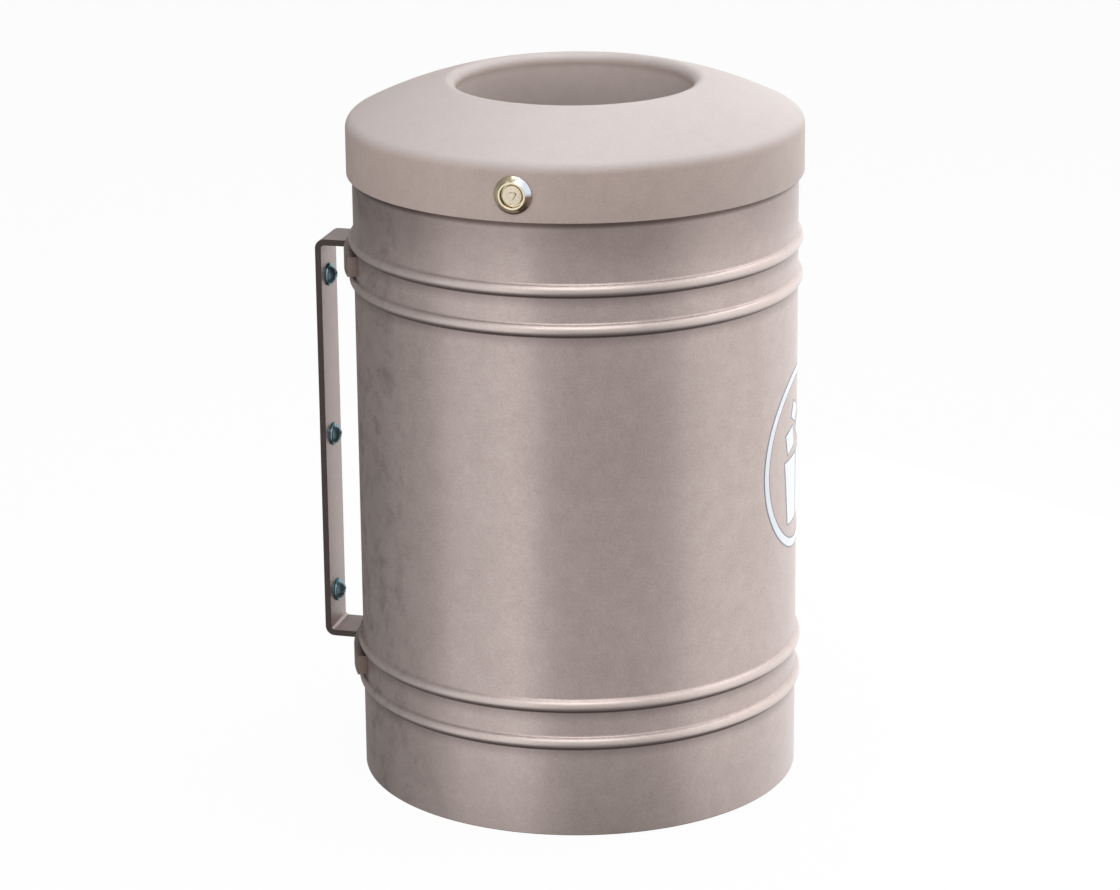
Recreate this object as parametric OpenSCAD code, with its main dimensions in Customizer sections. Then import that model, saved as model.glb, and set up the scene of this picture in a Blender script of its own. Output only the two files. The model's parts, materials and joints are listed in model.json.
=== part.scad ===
// Round wall-hung litter bin with a slip-over hinged lid, a cam lock and a lift-out liner.
// Millimetres, +Z up. The origin is on the bin's axis at the level of its lower edge.
// The front is at -Y, the wall bracket at +Y, the lock at -X and the lid's hinge at +X.

/* [Shell] */
// Outside radius of the rolled shell
shell_r = 180; // [160:1:210]
// Thickness of the shell's sheet
shell_t = 1.5; // [1:0.25:2]
// Height of the middle of the lower pair of beads
low_pair_z = 95; // [70:1:120]
// Distance from the middle of the lower pair to the middle of the upper pair
pair_pitch = 340; // [300:1:360]
// Distance between the two beads of a pair
bead_pitch = 31.5; // [30:0.5:36]
// Overall width of a bead
bead_w = 13; // [10:0.5:14]
// Height by which a bead stands proud
bead_h = 4; // [2.5:0.25:5]
// Radius of the fillet at a bead's foot
bead_foot_r = 2.2; // [1:0.1:2.5]

/* [Base] */
// Thickness of the base plate
base_t = 1.5; // [1:0.25:3]
// Height of the base plate's upturned flange
base_flange_h = 10; // [6:0.5:10]
// Radius of a drain hole in the base plate and the liner
drain_r = 6; // [3:0.5:9]
// Radius of the circle on which the drain holes lie
drain_circle_r = 95; // [60:1:120]

/* [Lid] */
// Gap between the shell and the lid's skirt
lid_gap = 3; // [2.5:0.5:5]
// Thickness of the lid's sheet
lid_t = 1.5; // [1:0.25:1.75]
// Height of the skirt's lower edge
skirt_z = 505; // [490:1:515]
// Height of the skirt's straight wall
skirt_h = 37; // [32:1:45]
// Radius of the shoulder between skirt and dome
shoulder_r = 11; // [8:0.5:14]
// Height of the lip's crest above the floor
lid_top_z = 579; // [574:1:590]
// Radius of the circle along the lip's crest
crest_r = 103.5; // [95:0.5:110]
// Radius of the rounded lip round the mouth
lip_r = 8.5; // [6:0.5:12]
// Radius of the dome's gentle crown
dome_r = 320; // [250:5:500]
// Depth of the collar below the crest
collar_depth = 55; // [40:1:60]
// Height of the folded hem at the collar's foot
collar_hem_h = 7; // [4:0.5:10]

/* [Lock] */
// Height of the lock's axis above the skirt's lower edge
lock_up = 21.5; // [20:0.5:24]
// Radius of the lock's bezel
bezel_r = 15; // [14:0.25:18]
// Height of the bezel above the skirt
bezel_h = 4.5; // [3.5:0.25:6]
// Radius of the well inside the bezel
well_r = 9.2; // [9:0.1:10]
// Radius of the threaded barrel
barrel_r = 11; // [10:0.25:12]
// Length of the barrel behind the skirt's face
barrel_len = 14; // [13:0.5:16]
// Half the distance across the barrel's two flats
barrel_flat = 10; // [9:0.25:11]
// Distance across the flats of the barrel's nut
nut_af = 27; // [26:0.5:30]
// Thickness of the barrel's nut
nut_t = 4.5; // [3:0.5:6]
// Radius of the plug's disc
plug_disc_r = 7.9; // [7:0.1:8.5]
// Radius of the plug's shaft
plug_shaft_r = 4.95; // [4.9:0.05:6]
// Side of the triangular key stud
key_side = 8; // [7:0.25:9]
// Side of the square that drives the cam
cam_square = 6.5; // [5.5:0.25:6.5]
// Length of the cam from the lock's axis to its tip
cam_len = 38; // [35:0.5:40]
// Width of the cam
cam_w = 14; // [12:0.5:16]
// Thickness of the cam
cam_t = 2.5; // [2:0.25:3]
// Thread radius of the cam's screw
cam_screw_r = 2.4; // [2:0.1:2.5]

/* [Keeper] */
// Thickness of the keeper's sheet
keeper_t = 2; // [1.5:0.25:2.5]
// Distance from the lock's axis to the keeper's near edge
keeper_start = 18; // [17:0.5:20]
// Width of the keeper along the wall
keeper_w = 18; // [14:0.5:20]
// Height of the keeper's leg
keeper_h = 34; // [24:1:40]
// Play between the shut cam and the keeper's lip
keeper_play = 0.6; // [0.4:0.1:1.5]

/* [Hinge] */
// Thickness of the hinge leaves
leaf_t = 2; // [1.5:0.25:2.5]
// Half the length of the hinge along its pin
hinge_half = 30; // [26:0.5:36]
// Half the length of the lid's knuckle
mid_knuckle_half = 12; // [9:0.5:15]
// Outside radius of the knuckles
knuckle_r = 5; // [4.5:0.25:6]
// Radius of the hinge pin
hinge_pin_r = 2.5; // [2:0.1:3]
// Height of the pin above the skirt's lower edge
hinge_up = 5; // [4:0.5:7]
// Height of the lid's leaf
lid_leaf_h = 23; // [18:0.5:24]
// Height of the fixed leaf
fixed_leaf_h = 28; // [22:0.5:34]

/* [Rivets] */
// Shank radius of the hinge rivets
rivet_r = 2.4; // [2:0.1:2.8]
// Radius of a rivet's domed head
rivet_head_r = 4.5; // [3.5:0.25:5]
// Height of a rivet's domed head
rivet_head_h = 1.8; // [1:0.1:2.5]
// Thickness of a rivet's closed end
rivet_tail_h = 1.2; // [0.8:0.1:1.5]

/* [Wall bracket] */
// Width of the flat bar
bar_w = 40; // [30:1:45]
// Thickness of the flat bar
bar_t = 5; // [4:0.5:6]
// Clear distance from the shell to the bracket's web
wall_gap = 31.5; // [28:0.5:50]
// Inside radius of the bracket's bends
bar_bend_r = 3; // [2:0.5:5]
// Height of a leg's middle above the middle of its saddle
leg_up = 1; // [0:0.5:5]
// Distance between neighbouring wall screws
screw_pitch = 138; // [110:1:145]

/* [Saddles] */
// Height of a saddle strip
saddle_h = 16; // [12:0.5:16]
// Thickness of a saddle strip
saddle_t = 8; // [5:0.5:9]
// Angle from a saddle's middle to its end
saddle_half_angle = 28; // [20:1:32]
// Angle from a saddle's middle to its screw
saddle_screw_angle = 17; // [12:1:18]

/* [Screws] */
// Radius of a wall screw's flange
wall_flange_r = 9.5; // [8.5:0.25:10]
// Thickness of a wall screw's flange
wall_flange_t = 2; // [1:0.1:2.5]
// Radius of a wall screw's domed head
wall_head_r = 8.1; // [6:0.1:8.4]
// Height of a wall screw's head over the bar
wall_head_h = 7; // [5:0.25:8]
// Distance across the flats of a wall screw's socket
wall_socket_af = 5; // [4:0.5:5]
// Thread radius of a wall screw
wall_thread_r = 4; // [3.5:0.25:4.25]
// Radius of a wall screw's reduced shank inside the bar
wall_shank_r = 3.6; // [3:0.1:3.7]
// Length of thread behind the bar
wall_thread_len = 4; // [3:0.5:20]
// Radius of a hole in the bar
bar_hole_r = 5; // [4.5:0.25:5.5]
// Thread radius of a saddle screw
saddle_thread_r = 3; // [2.5:0.1:3]
// Distance across the flats of a saddle screw's head
saddle_head_af = 10; // [8:0.5:11]
// Height of a saddle screw's head
saddle_head_h = 4; // [3:0.25:4.5]
// Outside radius of a saddle screw's washer
saddle_washer_r = 6.5; // [6:0.25:7]
// Thickness of a saddle screw's washer
saddle_washer_t = 1.2; // [0.8:0.1:1.6]

/* [Liner] */
// Gap between the liner's wall and the shell
liner_gap = 25.5; // [24.5:0.5:45]
// Thickness of the liner's sheet
liner_t = 1; // [0.8:0.1:1.5]
// Height of the liner
liner_h = 490; // [440:1:500]
// Radius of the wired edge round the liner's rim
rim_wire_r = 3.5; // [2.5:0.25:4]
// Height of the liner's floor above its foot
liner_foot_h = 9; // [7:0.5:10]
// Depth of the seam that joins floor and wall
liner_seam_h = 6; // [4:0.5:6.5]
// Height of the liner's upper stiffening bead above its foot
liner_bead_high = 400; // [320:1:410]
// Height of the liner's lower stiffening bead above its foot
liner_bead_low = 70; // [40:1:120]
// Height by which a liner bead stands proud
liner_bead_h = 2; // [1.5:0.1:2.5]
// Overall width of a liner bead
liner_bead_w = 9; // [8:0.5:11]

/* [Liner handles] */
// Radius of the handle's wire
wire_r = 3; // [2.5:0.25:3.5]
// Half the width of a handle between its legs' middles
handle_half = 40; // [36:1:45]
// Length of a handle from its axis to its grip
handle_drop = 42; // [36:1:45]
// Bend radius of the wire's middle line
handle_bend_r = 9; // [7:0.5:12]
// Depth of a handle's axis below the liner's rim
handle_down = 30; // [28:0.5:36]
// Half the length of a clip's tube
clip_half = 24; // [20:0.5:26]
// Wall of a clip's tube
clip_tube_t = 2; // [1.5:0.25:2.5]
// Thickness of a clip's plate
clip_t = 1.5; // [1:0.25:2]
// Height of a clip's plate above the handle's axis
clip_up = 20; // [18:0.5:24]

/* [Clearances] */
// Radial running clearance of pins and shafts in their bores
run = 0.05; // [0.02:0.01:0.1]
// Clearance of a screw, rivet or barrel in the hole that it passes through
pass = 0.15; // [0.1:0.05:0.3]
// Gap between soft-seated curved faces of parts that move apart
seat = 0.3; // [0.2:0.05:0.5]
// End play between turning parts
play = 0.2; // [0.1:0.05:0.4]

/* [Hidden] */
$fn = 96;

// Colours
paint = [0.66, 0.60, 0.57];
zinc = [0.72, 0.74, 0.76];
blue_zinc = [0.30, 0.44, 0.48];
nickel = [0.78, 0.75, 0.62];

// Cuts run past the faces that they open by this much
over = 1;
// Points on each small arc and on the dome's long arc
arc_n = 6;
dome_n = 10;
// Bearings of the four sides, counted from +X
hinge_az = 0;
bracket_az = 90;
lock_az = 180;
front_az = 270;

shell_in_r = shell_r - shell_t;
up_pair_z = low_pair_z + pair_pitch;
shell_beads = [for (z = [low_pair_z, up_pair_z], s = [-1, 1]) z + s * bead_pitch / 2];

lid_in_r = shell_r + lid_gap;
lid_r = lid_in_r + lid_t;
skirt_top_z = skirt_z + skirt_h;
mouth_r = crest_r - lip_r;
collar_z = lid_top_z - collar_depth;
// The shell's rim reaches up to the inside of the lid's shoulder, which rests on it
shell_top_z = skirt_top_z + sqrt(pow(shoulder_r - lid_t, 2) - pow(shell_r - (lid_r - shoulder_r), 2)) - seat;

lock_z = skirt_z + lock_up;
nut_corner_r = nut_af / 2 / cos(30);
// A flat nut inside the round skirt touches it at the corners
nut_seat = lid_r - sqrt(pow(lid_in_r, 2) - pow(nut_corner_r, 2)) + run;
well_floor = 0.5;
bezel_edge = 1;
bezel_rim = 1.7;
plug_notch_r = 1.2;
plug_bottom = well_floor + run;
plug_disc_t = 2;
key_stud_h = 1.8;
cam_front = barrel_len + play;
cam_back = cam_front + cam_t;
cam_washer_t = 1;
cam_washer_r = 6;
cam_head_h = 3.5;
cam_head_af = 8;
cam_screw_reach = 7;
cam_hub_r = 9;
notch_half = nut_corner_r + 2;
keeper_lip_z = lock_z + cam_w / 2 + keeper_play;
keeper_lip_in = lid_r - cam_back - keeper_t;
keeper_r = shell_in_r - 2 * run;

hinge_x = lid_r + 1 + knuckle_r;
hinge_z = skirt_z + hinge_up;
knuckle_gap = play;
lid_leaf_z = hinge_z + knuckle_r + 1.5;
fixed_leaf_top = skirt_z - 9;
fixed_leaf_z = fixed_leaf_top - fixed_leaf_h;
leaf_rivet_y = hinge_half - 10;
lid_rivet_z = lid_leaf_z + lid_leaf_h - 9;
fixed_rivet_z = fixed_leaf_z + 8;

saddle_r = shell_r + saddle_t;
web_in_y = shell_r + wall_gap;
web_out_y = web_in_y + bar_t;
bar_low_z = low_pair_z + leg_up - bar_t / 2;
bar_high_z = up_pair_z + leg_up + bar_t / 2;
bar_mid_z = (bar_low_z + bar_high_z) / 2;
wall_screw_z = [for (i = [-1:1]) bar_mid_z + i * screw_pitch];
wall_dome_h = wall_head_h - wall_flange_t;
saddle_hole_end = saddle_r - 1;
saddle_washer_seat = sqrt(pow(shell_in_r, 2) - pow(saddle_washer_r, 2)) - run;

liner_r = shell_in_r - liner_gap;
liner_in_r = liner_r - liner_t;
liner_z = base_t;
rim_z = liner_z + liner_h;
handle_z = rim_z - handle_down;
clip_tube_r = wire_r + run + clip_tube_t;
// A hanging handle's legs keep clear of the round wall behind them
handle_y = sqrt(pow(liner_in_r, 2) - pow(handle_half + wire_r, 2)) - wire_r - 2 * seat;
wire_end = clip_half - 14;
clip_rivet_z = handle_z + clip_up - 6;
clip_rivet_x = clip_half - 8;

// Points of an arc about (x, z), from angle a to angle b
function arc(x, z, r, a, b, n = arc_n) = [for (i = [0:n]) [x + r * cos(a + (b - a) * i / n),
                                                           z + r * sin(a + (b - a) * i / n)]];
// Joined lists of points, and a list turned round
function join(lists) = [for (l = lists, p = l) p];
function reversed(l) = [for (i = [len(l) - 1:-1:0]) l[i]];
// Radius of a bead's crown, tangent to the fillets at its feet
function crown_r(w, h, foot) = (w * w / 4 + h * h) / (2 * h) - foot;
// One face of a beaded wall, going up one bead: foot, crown, foot; off is the depth below the outer face
function bead_face(r, z, w, h, foot, off) =
    let (c = crown_r(w, h, foot), a = asin(w / 2 / (c + foot)))
    join([arc(r + foot, z - w / 2, foot + off, 180, 180 - a, 3),
          arc(r + h - c, z, c - off, -a, a),
          arc(r + foot, z + w / 2, foot + off, 180 + a, 180, 3)]);
function wall_face(r, z0, z1, beads, w, h, foot, off) =
    concat([[r - off, z0]], join([for (z = beads) bead_face(r, z, w, h, foot, off)]), [[r - off, z1]]);

// Section of a rolled wall with swaged beads
module beaded_wall(r, t, z0, z1, beads, w, h, foot)
    rotate_extrude()
        polygon(concat(wall_face(r, z0, z1, beads, w, h, foot, 0),
                       reversed(wall_face(r, z0, z1, beads, w, h, foot, t))));

// Puts a shape on a radius of the bin: its +Z then points away from the bin's axis
module radial(az, z, r = 0)
    rotate([0, 0, az])
        translate([r, 0, z])
            rotate([0, 90, 0])
                children();

// Part of a ring between two radii and two heights, centred on a bearing
module curved_plate(r_in, r_out, half_angle, z0, z1, az)
    rotate([0, 0, az - half_angle])
        rotate_extrude(angle = 2 * half_angle)
            translate([r_in, z0])
                square([r_out - r_in, z1 - z0]);

// Outline in X and Z, extruded along Y between two places
module along_y(y0, y1)
    translate([0, y1, 0])
        rotate([90, 0, 0])
            linear_extrude(y1 - y0)
                children();

// Outline in Y and Z, extruded along X, centred
module along_x(len)
    rotate([90, 0, 90])
        linear_extrude(len, center = true)
            children();

// Cap of a sphere, flat side at z = 0
module dome_cap(r, h)
    intersection() {
        translate([0, 0, h - (r * r + h * h) / (2 * h)])
            sphere(r = (r * r + h * h) / (2 * h));
        cylinder(r = r + over, h = h + over);
    }

// Closed rivet: its head lies above z = 0 and its closed end below -grip
module rivet(grip) {
    dome_cap(rivet_head_r, rivet_head_h);
    translate([0, 0, -grip])
        cylinder(r = rivet_r, h = grip + rivet_head_h / 2);
    translate([0, 0, -grip - rivet_tail_h])
        cylinder(r = rivet_r + 1.2, h = rivet_tail_h);
}

// Round hole for a rivet, through everything between two radii
module rivet_hole(az, z, r0, r1)
    radial(az, z, r0)
        cylinder(r = rivet_r + pass, h = r1 - r0);

module hex_prism(af, h)
    cylinder(r = af / 2 / cos(30), h = h, $fn = 6);

// Round bar with two flats
module double_flat(r, half, z0, z1)
    intersection() {
        translate([0, 0, z0])
            cylinder(r = r, h = z1 - z0);
        translate([-half, -r - over, z0 - over])
            cube([2 * half, 2 * (r + over), z1 - z0 + 2 * over]);
    }

// The lock's own frame: +Z points out of the skirt, +X points up
module at_lock()
    translate([-lid_r, 0, lock_z])
        rotate([0, -90, 0])
            children();

module drain_holes()
    for (a = [45:90:315])
        rotate([0, 0, a])
            translate([drain_circle_r, 0, -over])
                cylinder(r = drain_r, h = base_t + liner_foot_h + liner_t + 2 * over);

// Bearing of a place at distance y beside a radius of length r
function bearing(y, r) = asin(y / r);

// Rolled shell with two pairs of beads and an open notch for the lock
module body_shell()
    color(paint)
        difference() {
            beaded_wall(shell_r, shell_t, 0, shell_top_z, shell_beads, bead_w, bead_h, bead_foot_r);
            radial(lock_az, lock_z, shell_in_r - 2 * over)
                cylinder(r = notch_half, h = shell_t + 4 * over);
            translate([-shell_r - over, -notch_half, lock_z])
                cube([shell_t + 20, 2 * notch_half, shell_top_z - lock_z + over]);
            for (s = [-1, 1])
                rivet_hole(hinge_az + s * bearing(leaf_rivet_y, shell_r), fixed_rivet_z,
                           shell_in_r - over, shell_r + over);
            for (z = [low_pair_z, up_pair_z], s = [-1, 1])
                radial(bracket_az + s * saddle_screw_angle, z, shell_in_r - over)
                    cylinder(r = saddle_thread_r + pass, h = shell_t + 2 * over);
        }

// Pressed floor of the shell, with an upturned flange that is welded to the wall
module base_plate()
    color(paint)
        difference() {
            rotate_extrude() {
                square([shell_in_r - 2 * base_t, base_t]);
                translate([shell_in_r - base_t, 2 * base_t])
                    square([base_t, base_flange_h - 2 * base_t]);
                translate([shell_in_r - 2 * base_t, 2 * base_t])
                    intersection() {
                        difference() {
                            circle(r = 2 * base_t);
                            circle(r = base_t);
                        }
                        translate([0, -2 * base_t])
                            square(2 * base_t);
                    }
            }
            drain_holes();
        }

// Curved strip that lies between the beads and spreads the bracket's load
module saddle(z)
    difference() {
        curved_plate(shell_r, saddle_r, saddle_half_angle, z - saddle_h / 2, z + saddle_h / 2, bracket_az);
        for (s = [-1, 1])
            radial(bracket_az + s * saddle_screw_angle, z, shell_r - over)
                cylinder(r = saddle_thread_r + run, h = saddle_hole_end - shell_r + over);
    }

module upper_saddle()
    color(paint)
        saddle(up_pair_z);

module lower_saddle()
    color(paint)
        saddle(low_pair_z);

// Places the four saddle screws: their +Z points away from the bin's axis
module at_saddle_screws(r)
    for (z = [low_pair_z, up_pair_z], s = [-1, 1])
        radial(bracket_az + s * saddle_screw_angle, z, r)
            children();

module saddle_washers()
    color(zinc)
        at_saddle_screws(saddle_washer_seat - saddle_washer_t)
            difference() {
                cylinder(r = saddle_washer_r, h = saddle_washer_t);
                translate([0, 0, -over])
                    cylinder(r = saddle_thread_r + pass, h = saddle_washer_t + 2 * over);
            }

module saddle_screws()
    color(zinc)
        at_saddle_screws(saddle_washer_seat - saddle_washer_t) {
            translate([0, 0, -saddle_head_h])
                hex_prism(saddle_head_af, saddle_head_h);
            cylinder(r = saddle_thread_r, h = saddle_hole_end - over - saddle_washer_seat + saddle_washer_t);
        }

// Quarter of a bent flat bar, seen from the side
module bar_bend(a)
    rotate(a)
        intersection() {
            difference() {
                circle(r = bar_bend_r + bar_t);
                circle(r = bar_bend_r);
            }
            square(bar_bend_r + bar_t);
        }

// Flat bar bent to a U: its web goes to the wall and its legs are welded to the saddles
module wall_bracket()
    color(paint)
        difference() {
            along_x(bar_w) {
                translate([web_in_y, bar_low_z + bar_t + bar_bend_r])
                    square([bar_t, bar_high_z - bar_low_z - 2 * (bar_t + bar_bend_r)]);
                for (z = [bar_low_z, bar_high_z - bar_t])
                    translate([shell_r, z])
                        square([web_in_y - bar_bend_r - shell_r, bar_t]);
                translate([web_in_y - bar_bend_r, bar_high_z - bar_t - bar_bend_r])
                    bar_bend(0);
                translate([web_in_y - bar_bend_r, bar_low_z + bar_t + bar_bend_r])
                    bar_bend(-90);
            }
            translate([0, 0, bar_low_z - over])
                cylinder(r = saddle_r, h = bar_high_z - bar_low_z + 2 * over);
            for (z = wall_screw_z)
                translate([0, web_out_y + over, z])
                    rotate([90, 0, 0])
                        cylinder(r = bar_hole_r, h = bar_t + 2 * over);
        }

// Flanged button-head screw: its head lies above z = 0
module wall_screw()
    difference() {
        union() {
            cylinder(r = wall_flange_r, h = wall_flange_t);
            translate([0, 0, wall_flange_t])
                dome_cap(wall_head_r, wall_dome_h);
            translate([0, 0, -bar_t - pass])
                cylinder(r = wall_shank_r, h = bar_t + pass + wall_flange_t / 2);
            translate([0, 0, -bar_t - pass - wall_thread_len])
                cylinder(r = wall_thread_r, h = wall_thread_len);
        }
        translate([0, 0, wall_head_h - 3])
            hex_prism(wall_socket_af, 3 + over);
    }

module wall_screws()
    color(blue_zinc)
        for (z = wall_screw_z)
            translate([0, web_in_y, z])
                rotate([90, 0, 0])
                    wall_screw();

// Bent plate inside the shell: the shut cam lies under its lip
module lock_keeper() {
    near = bearing(keeper_start, keeper_r);
    far = bearing(keeper_start + keeper_w, keeper_r);
    mid = lock_az - (near + far) / 2;
    color(zinc) {
        curved_plate(keeper_r - keeper_t, keeper_r, (far - near) / 2,
                     keeper_lip_z + keeper_t - keeper_h, keeper_lip_z + keeper_t, mid);
        curved_plate(keeper_lip_in, keeper_r, (far - near) / 2,
                     keeper_lip_z, keeper_lip_z + keeper_t, mid);
    }
}

// Bore for the hinge pin between two places along Y
module pin_bore(half)
    translate([hinge_x, half, hinge_z])
        rotate([90, 0, 0])
            cylinder(r = hinge_pin_r + run, h = 2 * half);

module knuckle(y0, y1)
    translate([hinge_x, y1, hinge_z])
        rotate([90, 0, 0])
            cylinder(r = knuckle_r, h = y1 - y0);

// Fixed leaf: curved plate on the shell and two arms that pass under the skirt to the outer knuckles
module hinge_fixed_leaf()
    color(paint)
        difference() {
            union() {
                curved_plate(shell_r, shell_r + leaf_t, bearing(hinge_half, shell_r),
                             fixed_leaf_z, fixed_leaf_top, hinge_az);
                for (s = [0, 1])
                    mirror([0, s, 0]) {
                        along_y(mid_knuckle_half + knuckle_gap, hinge_half)
                            polygon([[shell_in_r - over, fixed_leaf_top - 14],
                                     [shell_r + leaf_t, fixed_leaf_top - 14],
                                     [hinge_x + knuckle_r * cos(25), hinge_z - knuckle_r * sin(25)],
                                     [hinge_x - knuckle_r * cos(45), hinge_z - knuckle_r * sin(45)],
                                     [shell_r + 1, fixed_leaf_top + 1.5],
                                     [shell_in_r - over, fixed_leaf_top + 1.5]]);
                        knuckle(mid_knuckle_half + knuckle_gap, hinge_half);
                    }
            }
            translate([0, 0, fixed_leaf_z - over])
                cylinder(r = shell_r, h = fixed_leaf_h + 4 * over);
            pin_bore(hinge_half + over);
            for (s = [-1, 1])
                rivet_hole(hinge_az + s * bearing(leaf_rivet_y, shell_r), fixed_rivet_z,
                           shell_r - over, shell_r + leaf_t + over);
        }

module fixed_leaf_rivets()
    color(zinc)
        for (s = [-1, 1])
            radial(hinge_az + s * bearing(leaf_rivet_y, shell_r), fixed_rivet_z, shell_r + leaf_t)
                rivet(leaf_t + shell_t + run);

// Pin with peened ends
module hinge_pin()
    color(zinc)
        translate([hinge_x, 0, hinge_z])
            rotate([90, 0, 0]) {
                cylinder(r = hinge_pin_r, h = 2 * hinge_half + 1, center = true);
                for (s = [0, 1])
                    mirror([0, 0, s])
                        translate([0, 0, hinge_half + run])
                            dome_cap(hinge_pin_r + 1.4, 1.4);
            }

// Leaf on the skirt with the middle knuckle
module hinge_lid_leaf()
    color(paint)
        difference() {
            union() {
                curved_plate(lid_r, lid_r + leaf_t, bearing(hinge_half, lid_r),
                             lid_leaf_z, lid_leaf_z + lid_leaf_h, hinge_az);
                along_y(-mid_knuckle_half, mid_knuckle_half)
                    polygon([[lid_r, lid_leaf_z],
                             [hinge_x - knuckle_r, hinge_z],
                             [hinge_x + knuckle_r * cos(60), hinge_z + knuckle_r * sin(60)],
                             [lid_r + leaf_t, lid_leaf_z + 8],
                             [lid_r, lid_leaf_z + 8]]);
                knuckle(-mid_knuckle_half, mid_knuckle_half);
            }
            translate([0, 0, skirt_z])
                cylinder(r = lid_r, h = skirt_h);
            pin_bore(mid_knuckle_half + over);
            for (s = [-1, 1])
                rivet_hole(hinge_az + s * bearing(leaf_rivet_y, lid_r), lid_rivet_z,
                           lid_r - over, lid_r + leaf_t + over);
        }

module lid_leaf_rivets()
    color(zinc)
        for (s = [-1, 1])
            radial(hinge_az + s * bearing(leaf_rivet_y, lid_r), lid_rivet_z, lid_r + leaf_t)
                rivet(leaf_t + lid_t + run);

// Centre of the dome's arc: it touches the shoulder's and the lip's arcs from outside
shoulder_c = [lid_r - shoulder_r, skirt_top_z];
lip_c = [crest_r, lid_top_z - lip_r];
chord = norm(lip_c - shoulder_c);
chord_dir = (lip_c - shoulder_c) / chord;
chord_foot = (pow(dome_r - shoulder_r, 2) - pow(dome_r - lip_r, 2) + chord * chord) / (2 * chord);
dome_c = shoulder_c + chord_foot * chord_dir
    + sqrt(pow(dome_r - shoulder_r, 2) - chord_foot * chord_foot) * [-chord_dir[1], chord_dir[0]];
shoulder_turn = atan2(shoulder_c[1] - dome_c[1], shoulder_c[0] - dome_c[0]);
lip_turn = atan2(lip_c[1] - dome_c[1], lip_c[0] - dome_c[0]);

// One face of the spun dome, from the shoulder over the crown to the inner end of the lip
function dome_face(off) =
    concat(arc(shoulder_c[0], shoulder_c[1], shoulder_r - off, 0, shoulder_turn),
           arc(dome_c[0], dome_c[1], dome_r - off, shoulder_turn, lip_turn, dome_n),
           arc(lip_c[0], lip_c[1], lip_r - off, lip_turn, 180, 2 * arc_n));

module lid_dome()
    color(paint)
        rotate_extrude()
            polygon(concat(dome_face(0), reversed(dome_face(lid_t))));

// Rolled ring that goes on down from the lip, with a folded hem at its foot
module mouth_collar()
    color(paint)
        rotate_extrude() {
            translate([mouth_r, collar_z])
                square([lid_t, lid_top_z - lip_r - collar_z]);
            translate([mouth_r + lid_t / 2, collar_z])
                square([1.5 * lid_t, collar_hem_h]);
        }

// Rolled band under the dome, welded to it and ground flush
module lid_skirt()
    color(paint)
        difference() {
            rotate_extrude()
                translate([lid_in_r, skirt_z])
                    square([lid_t, skirt_h]);
            at_lock()
                double_flat(barrel_r + pass, barrel_flat + pass, -2 * lid_t - 2 * over, over);
            for (s = [-1, 1])
                rivet_hole(hinge_az + s * bearing(leaf_rivet_y, lid_r), lid_rivet_z,
                           lid_in_r - over, lid_r + over);
        }

// Bezel, well and barrel in one turned piece
module lock_housing()
    color(nickel)
        at_lock()
            difference() {
                union() {
                    rotate_extrude()
                        polygon([[0, 0], [bezel_r, 0], [bezel_r, bezel_edge],
                                 [well_r + bezel_rim, bezel_h], [0, bezel_h]]);
                    double_flat(barrel_r, barrel_flat, -barrel_len, well_floor / 2);
                }
                translate([0, 0, well_floor])
                    cylinder(r = well_r, h = bezel_h);
                translate([0, 0, -barrel_len - over])
                    cylinder(r = plug_shaft_r + run, h = barrel_len + bezel_h);
            }

module lock_nut()
    color(zinc)
        at_lock()
            translate([0, 0, -nut_seat - nut_t])
                difference() {
                    hex_prism(nut_af, nut_t);
                    translate([0, 0, -over])
                        cylinder(r = barrel_r + run, h = nut_t + 2 * over);
                }

// Plug with a rounded triangular stud for the key and a square end for the cam
module lock_plug()
    color(nickel)
        at_lock()
            difference() {
                union() {
                    translate([0, 0, plug_bottom])
                        cylinder(r = plug_disc_r, h = plug_disc_t);
                    translate([0, 0, plug_bottom + plug_disc_t / 2])
                        intersection() {
                            rotate([0, 0, 180])
                                cylinder(r = key_side / sqrt(3), h = key_stud_h + plug_disc_t / 2, $fn = 3);
                            cylinder(r = 0.85 * key_side / sqrt(3), h = key_stud_h + plug_disc_t);
                        }
                    translate([0, 0, -barrel_len - run])
                        cylinder(r = plug_shaft_r, h = barrel_len + 2 * run + plug_bottom);
                    translate([-cam_square / 2, -cam_square / 2, -cam_back + run])
                        cube([cam_square, cam_square, cam_back - barrel_len]);
                }
                translate([0, 0, -cam_back])
                    cylinder(r = cam_screw_r + run, h = cam_screw_reach + over);
                translate([-plug_disc_r, 0, plug_bottom - over])
                    cylinder(r = plug_notch_r, h = plug_disc_t + 2 * over);
            }

// At rest the cam hangs down, clear of the keeper, so that the lid is free
module lock_cam()
    color(zinc)
        at_lock()
            translate([0, 0, -cam_back])
                difference() {
                    union() {
                        cylinder(r = cam_hub_r, h = cam_t);
                        translate([-cam_len + cam_w / 2, -cam_w / 2, 0])
                            cube([cam_len - cam_w / 2, cam_w, cam_t]);
                        translate([-cam_len + cam_w / 2, 0, 0])
                            cylinder(r = cam_w / 2, h = cam_t);
                    }
                    translate([-cam_square / 2 - run, -cam_square / 2 - run, -over])
                        cube([cam_square + 2 * run, cam_square + 2 * run, cam_t + 2 * over]);
                }

module cam_washer()
    color(zinc)
        at_lock()
            translate([0, 0, -cam_back - cam_washer_t])
                difference() {
                    cylinder(r = cam_washer_r, h = cam_washer_t);
                    translate([0, 0, -over])
                        cylinder(r = cam_screw_r + pass, h = cam_washer_t + 2 * over);
                }

module cam_screw()
    color(zinc)
        at_lock()
            translate([0, 0, -cam_back - cam_washer_t]) {
                translate([0, 0, -cam_head_h])
                    hex_prism(cam_head_af, cam_head_h);
                cylinder(r = cam_screw_r, h = cam_washer_t + cam_screw_reach);
            }

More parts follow.
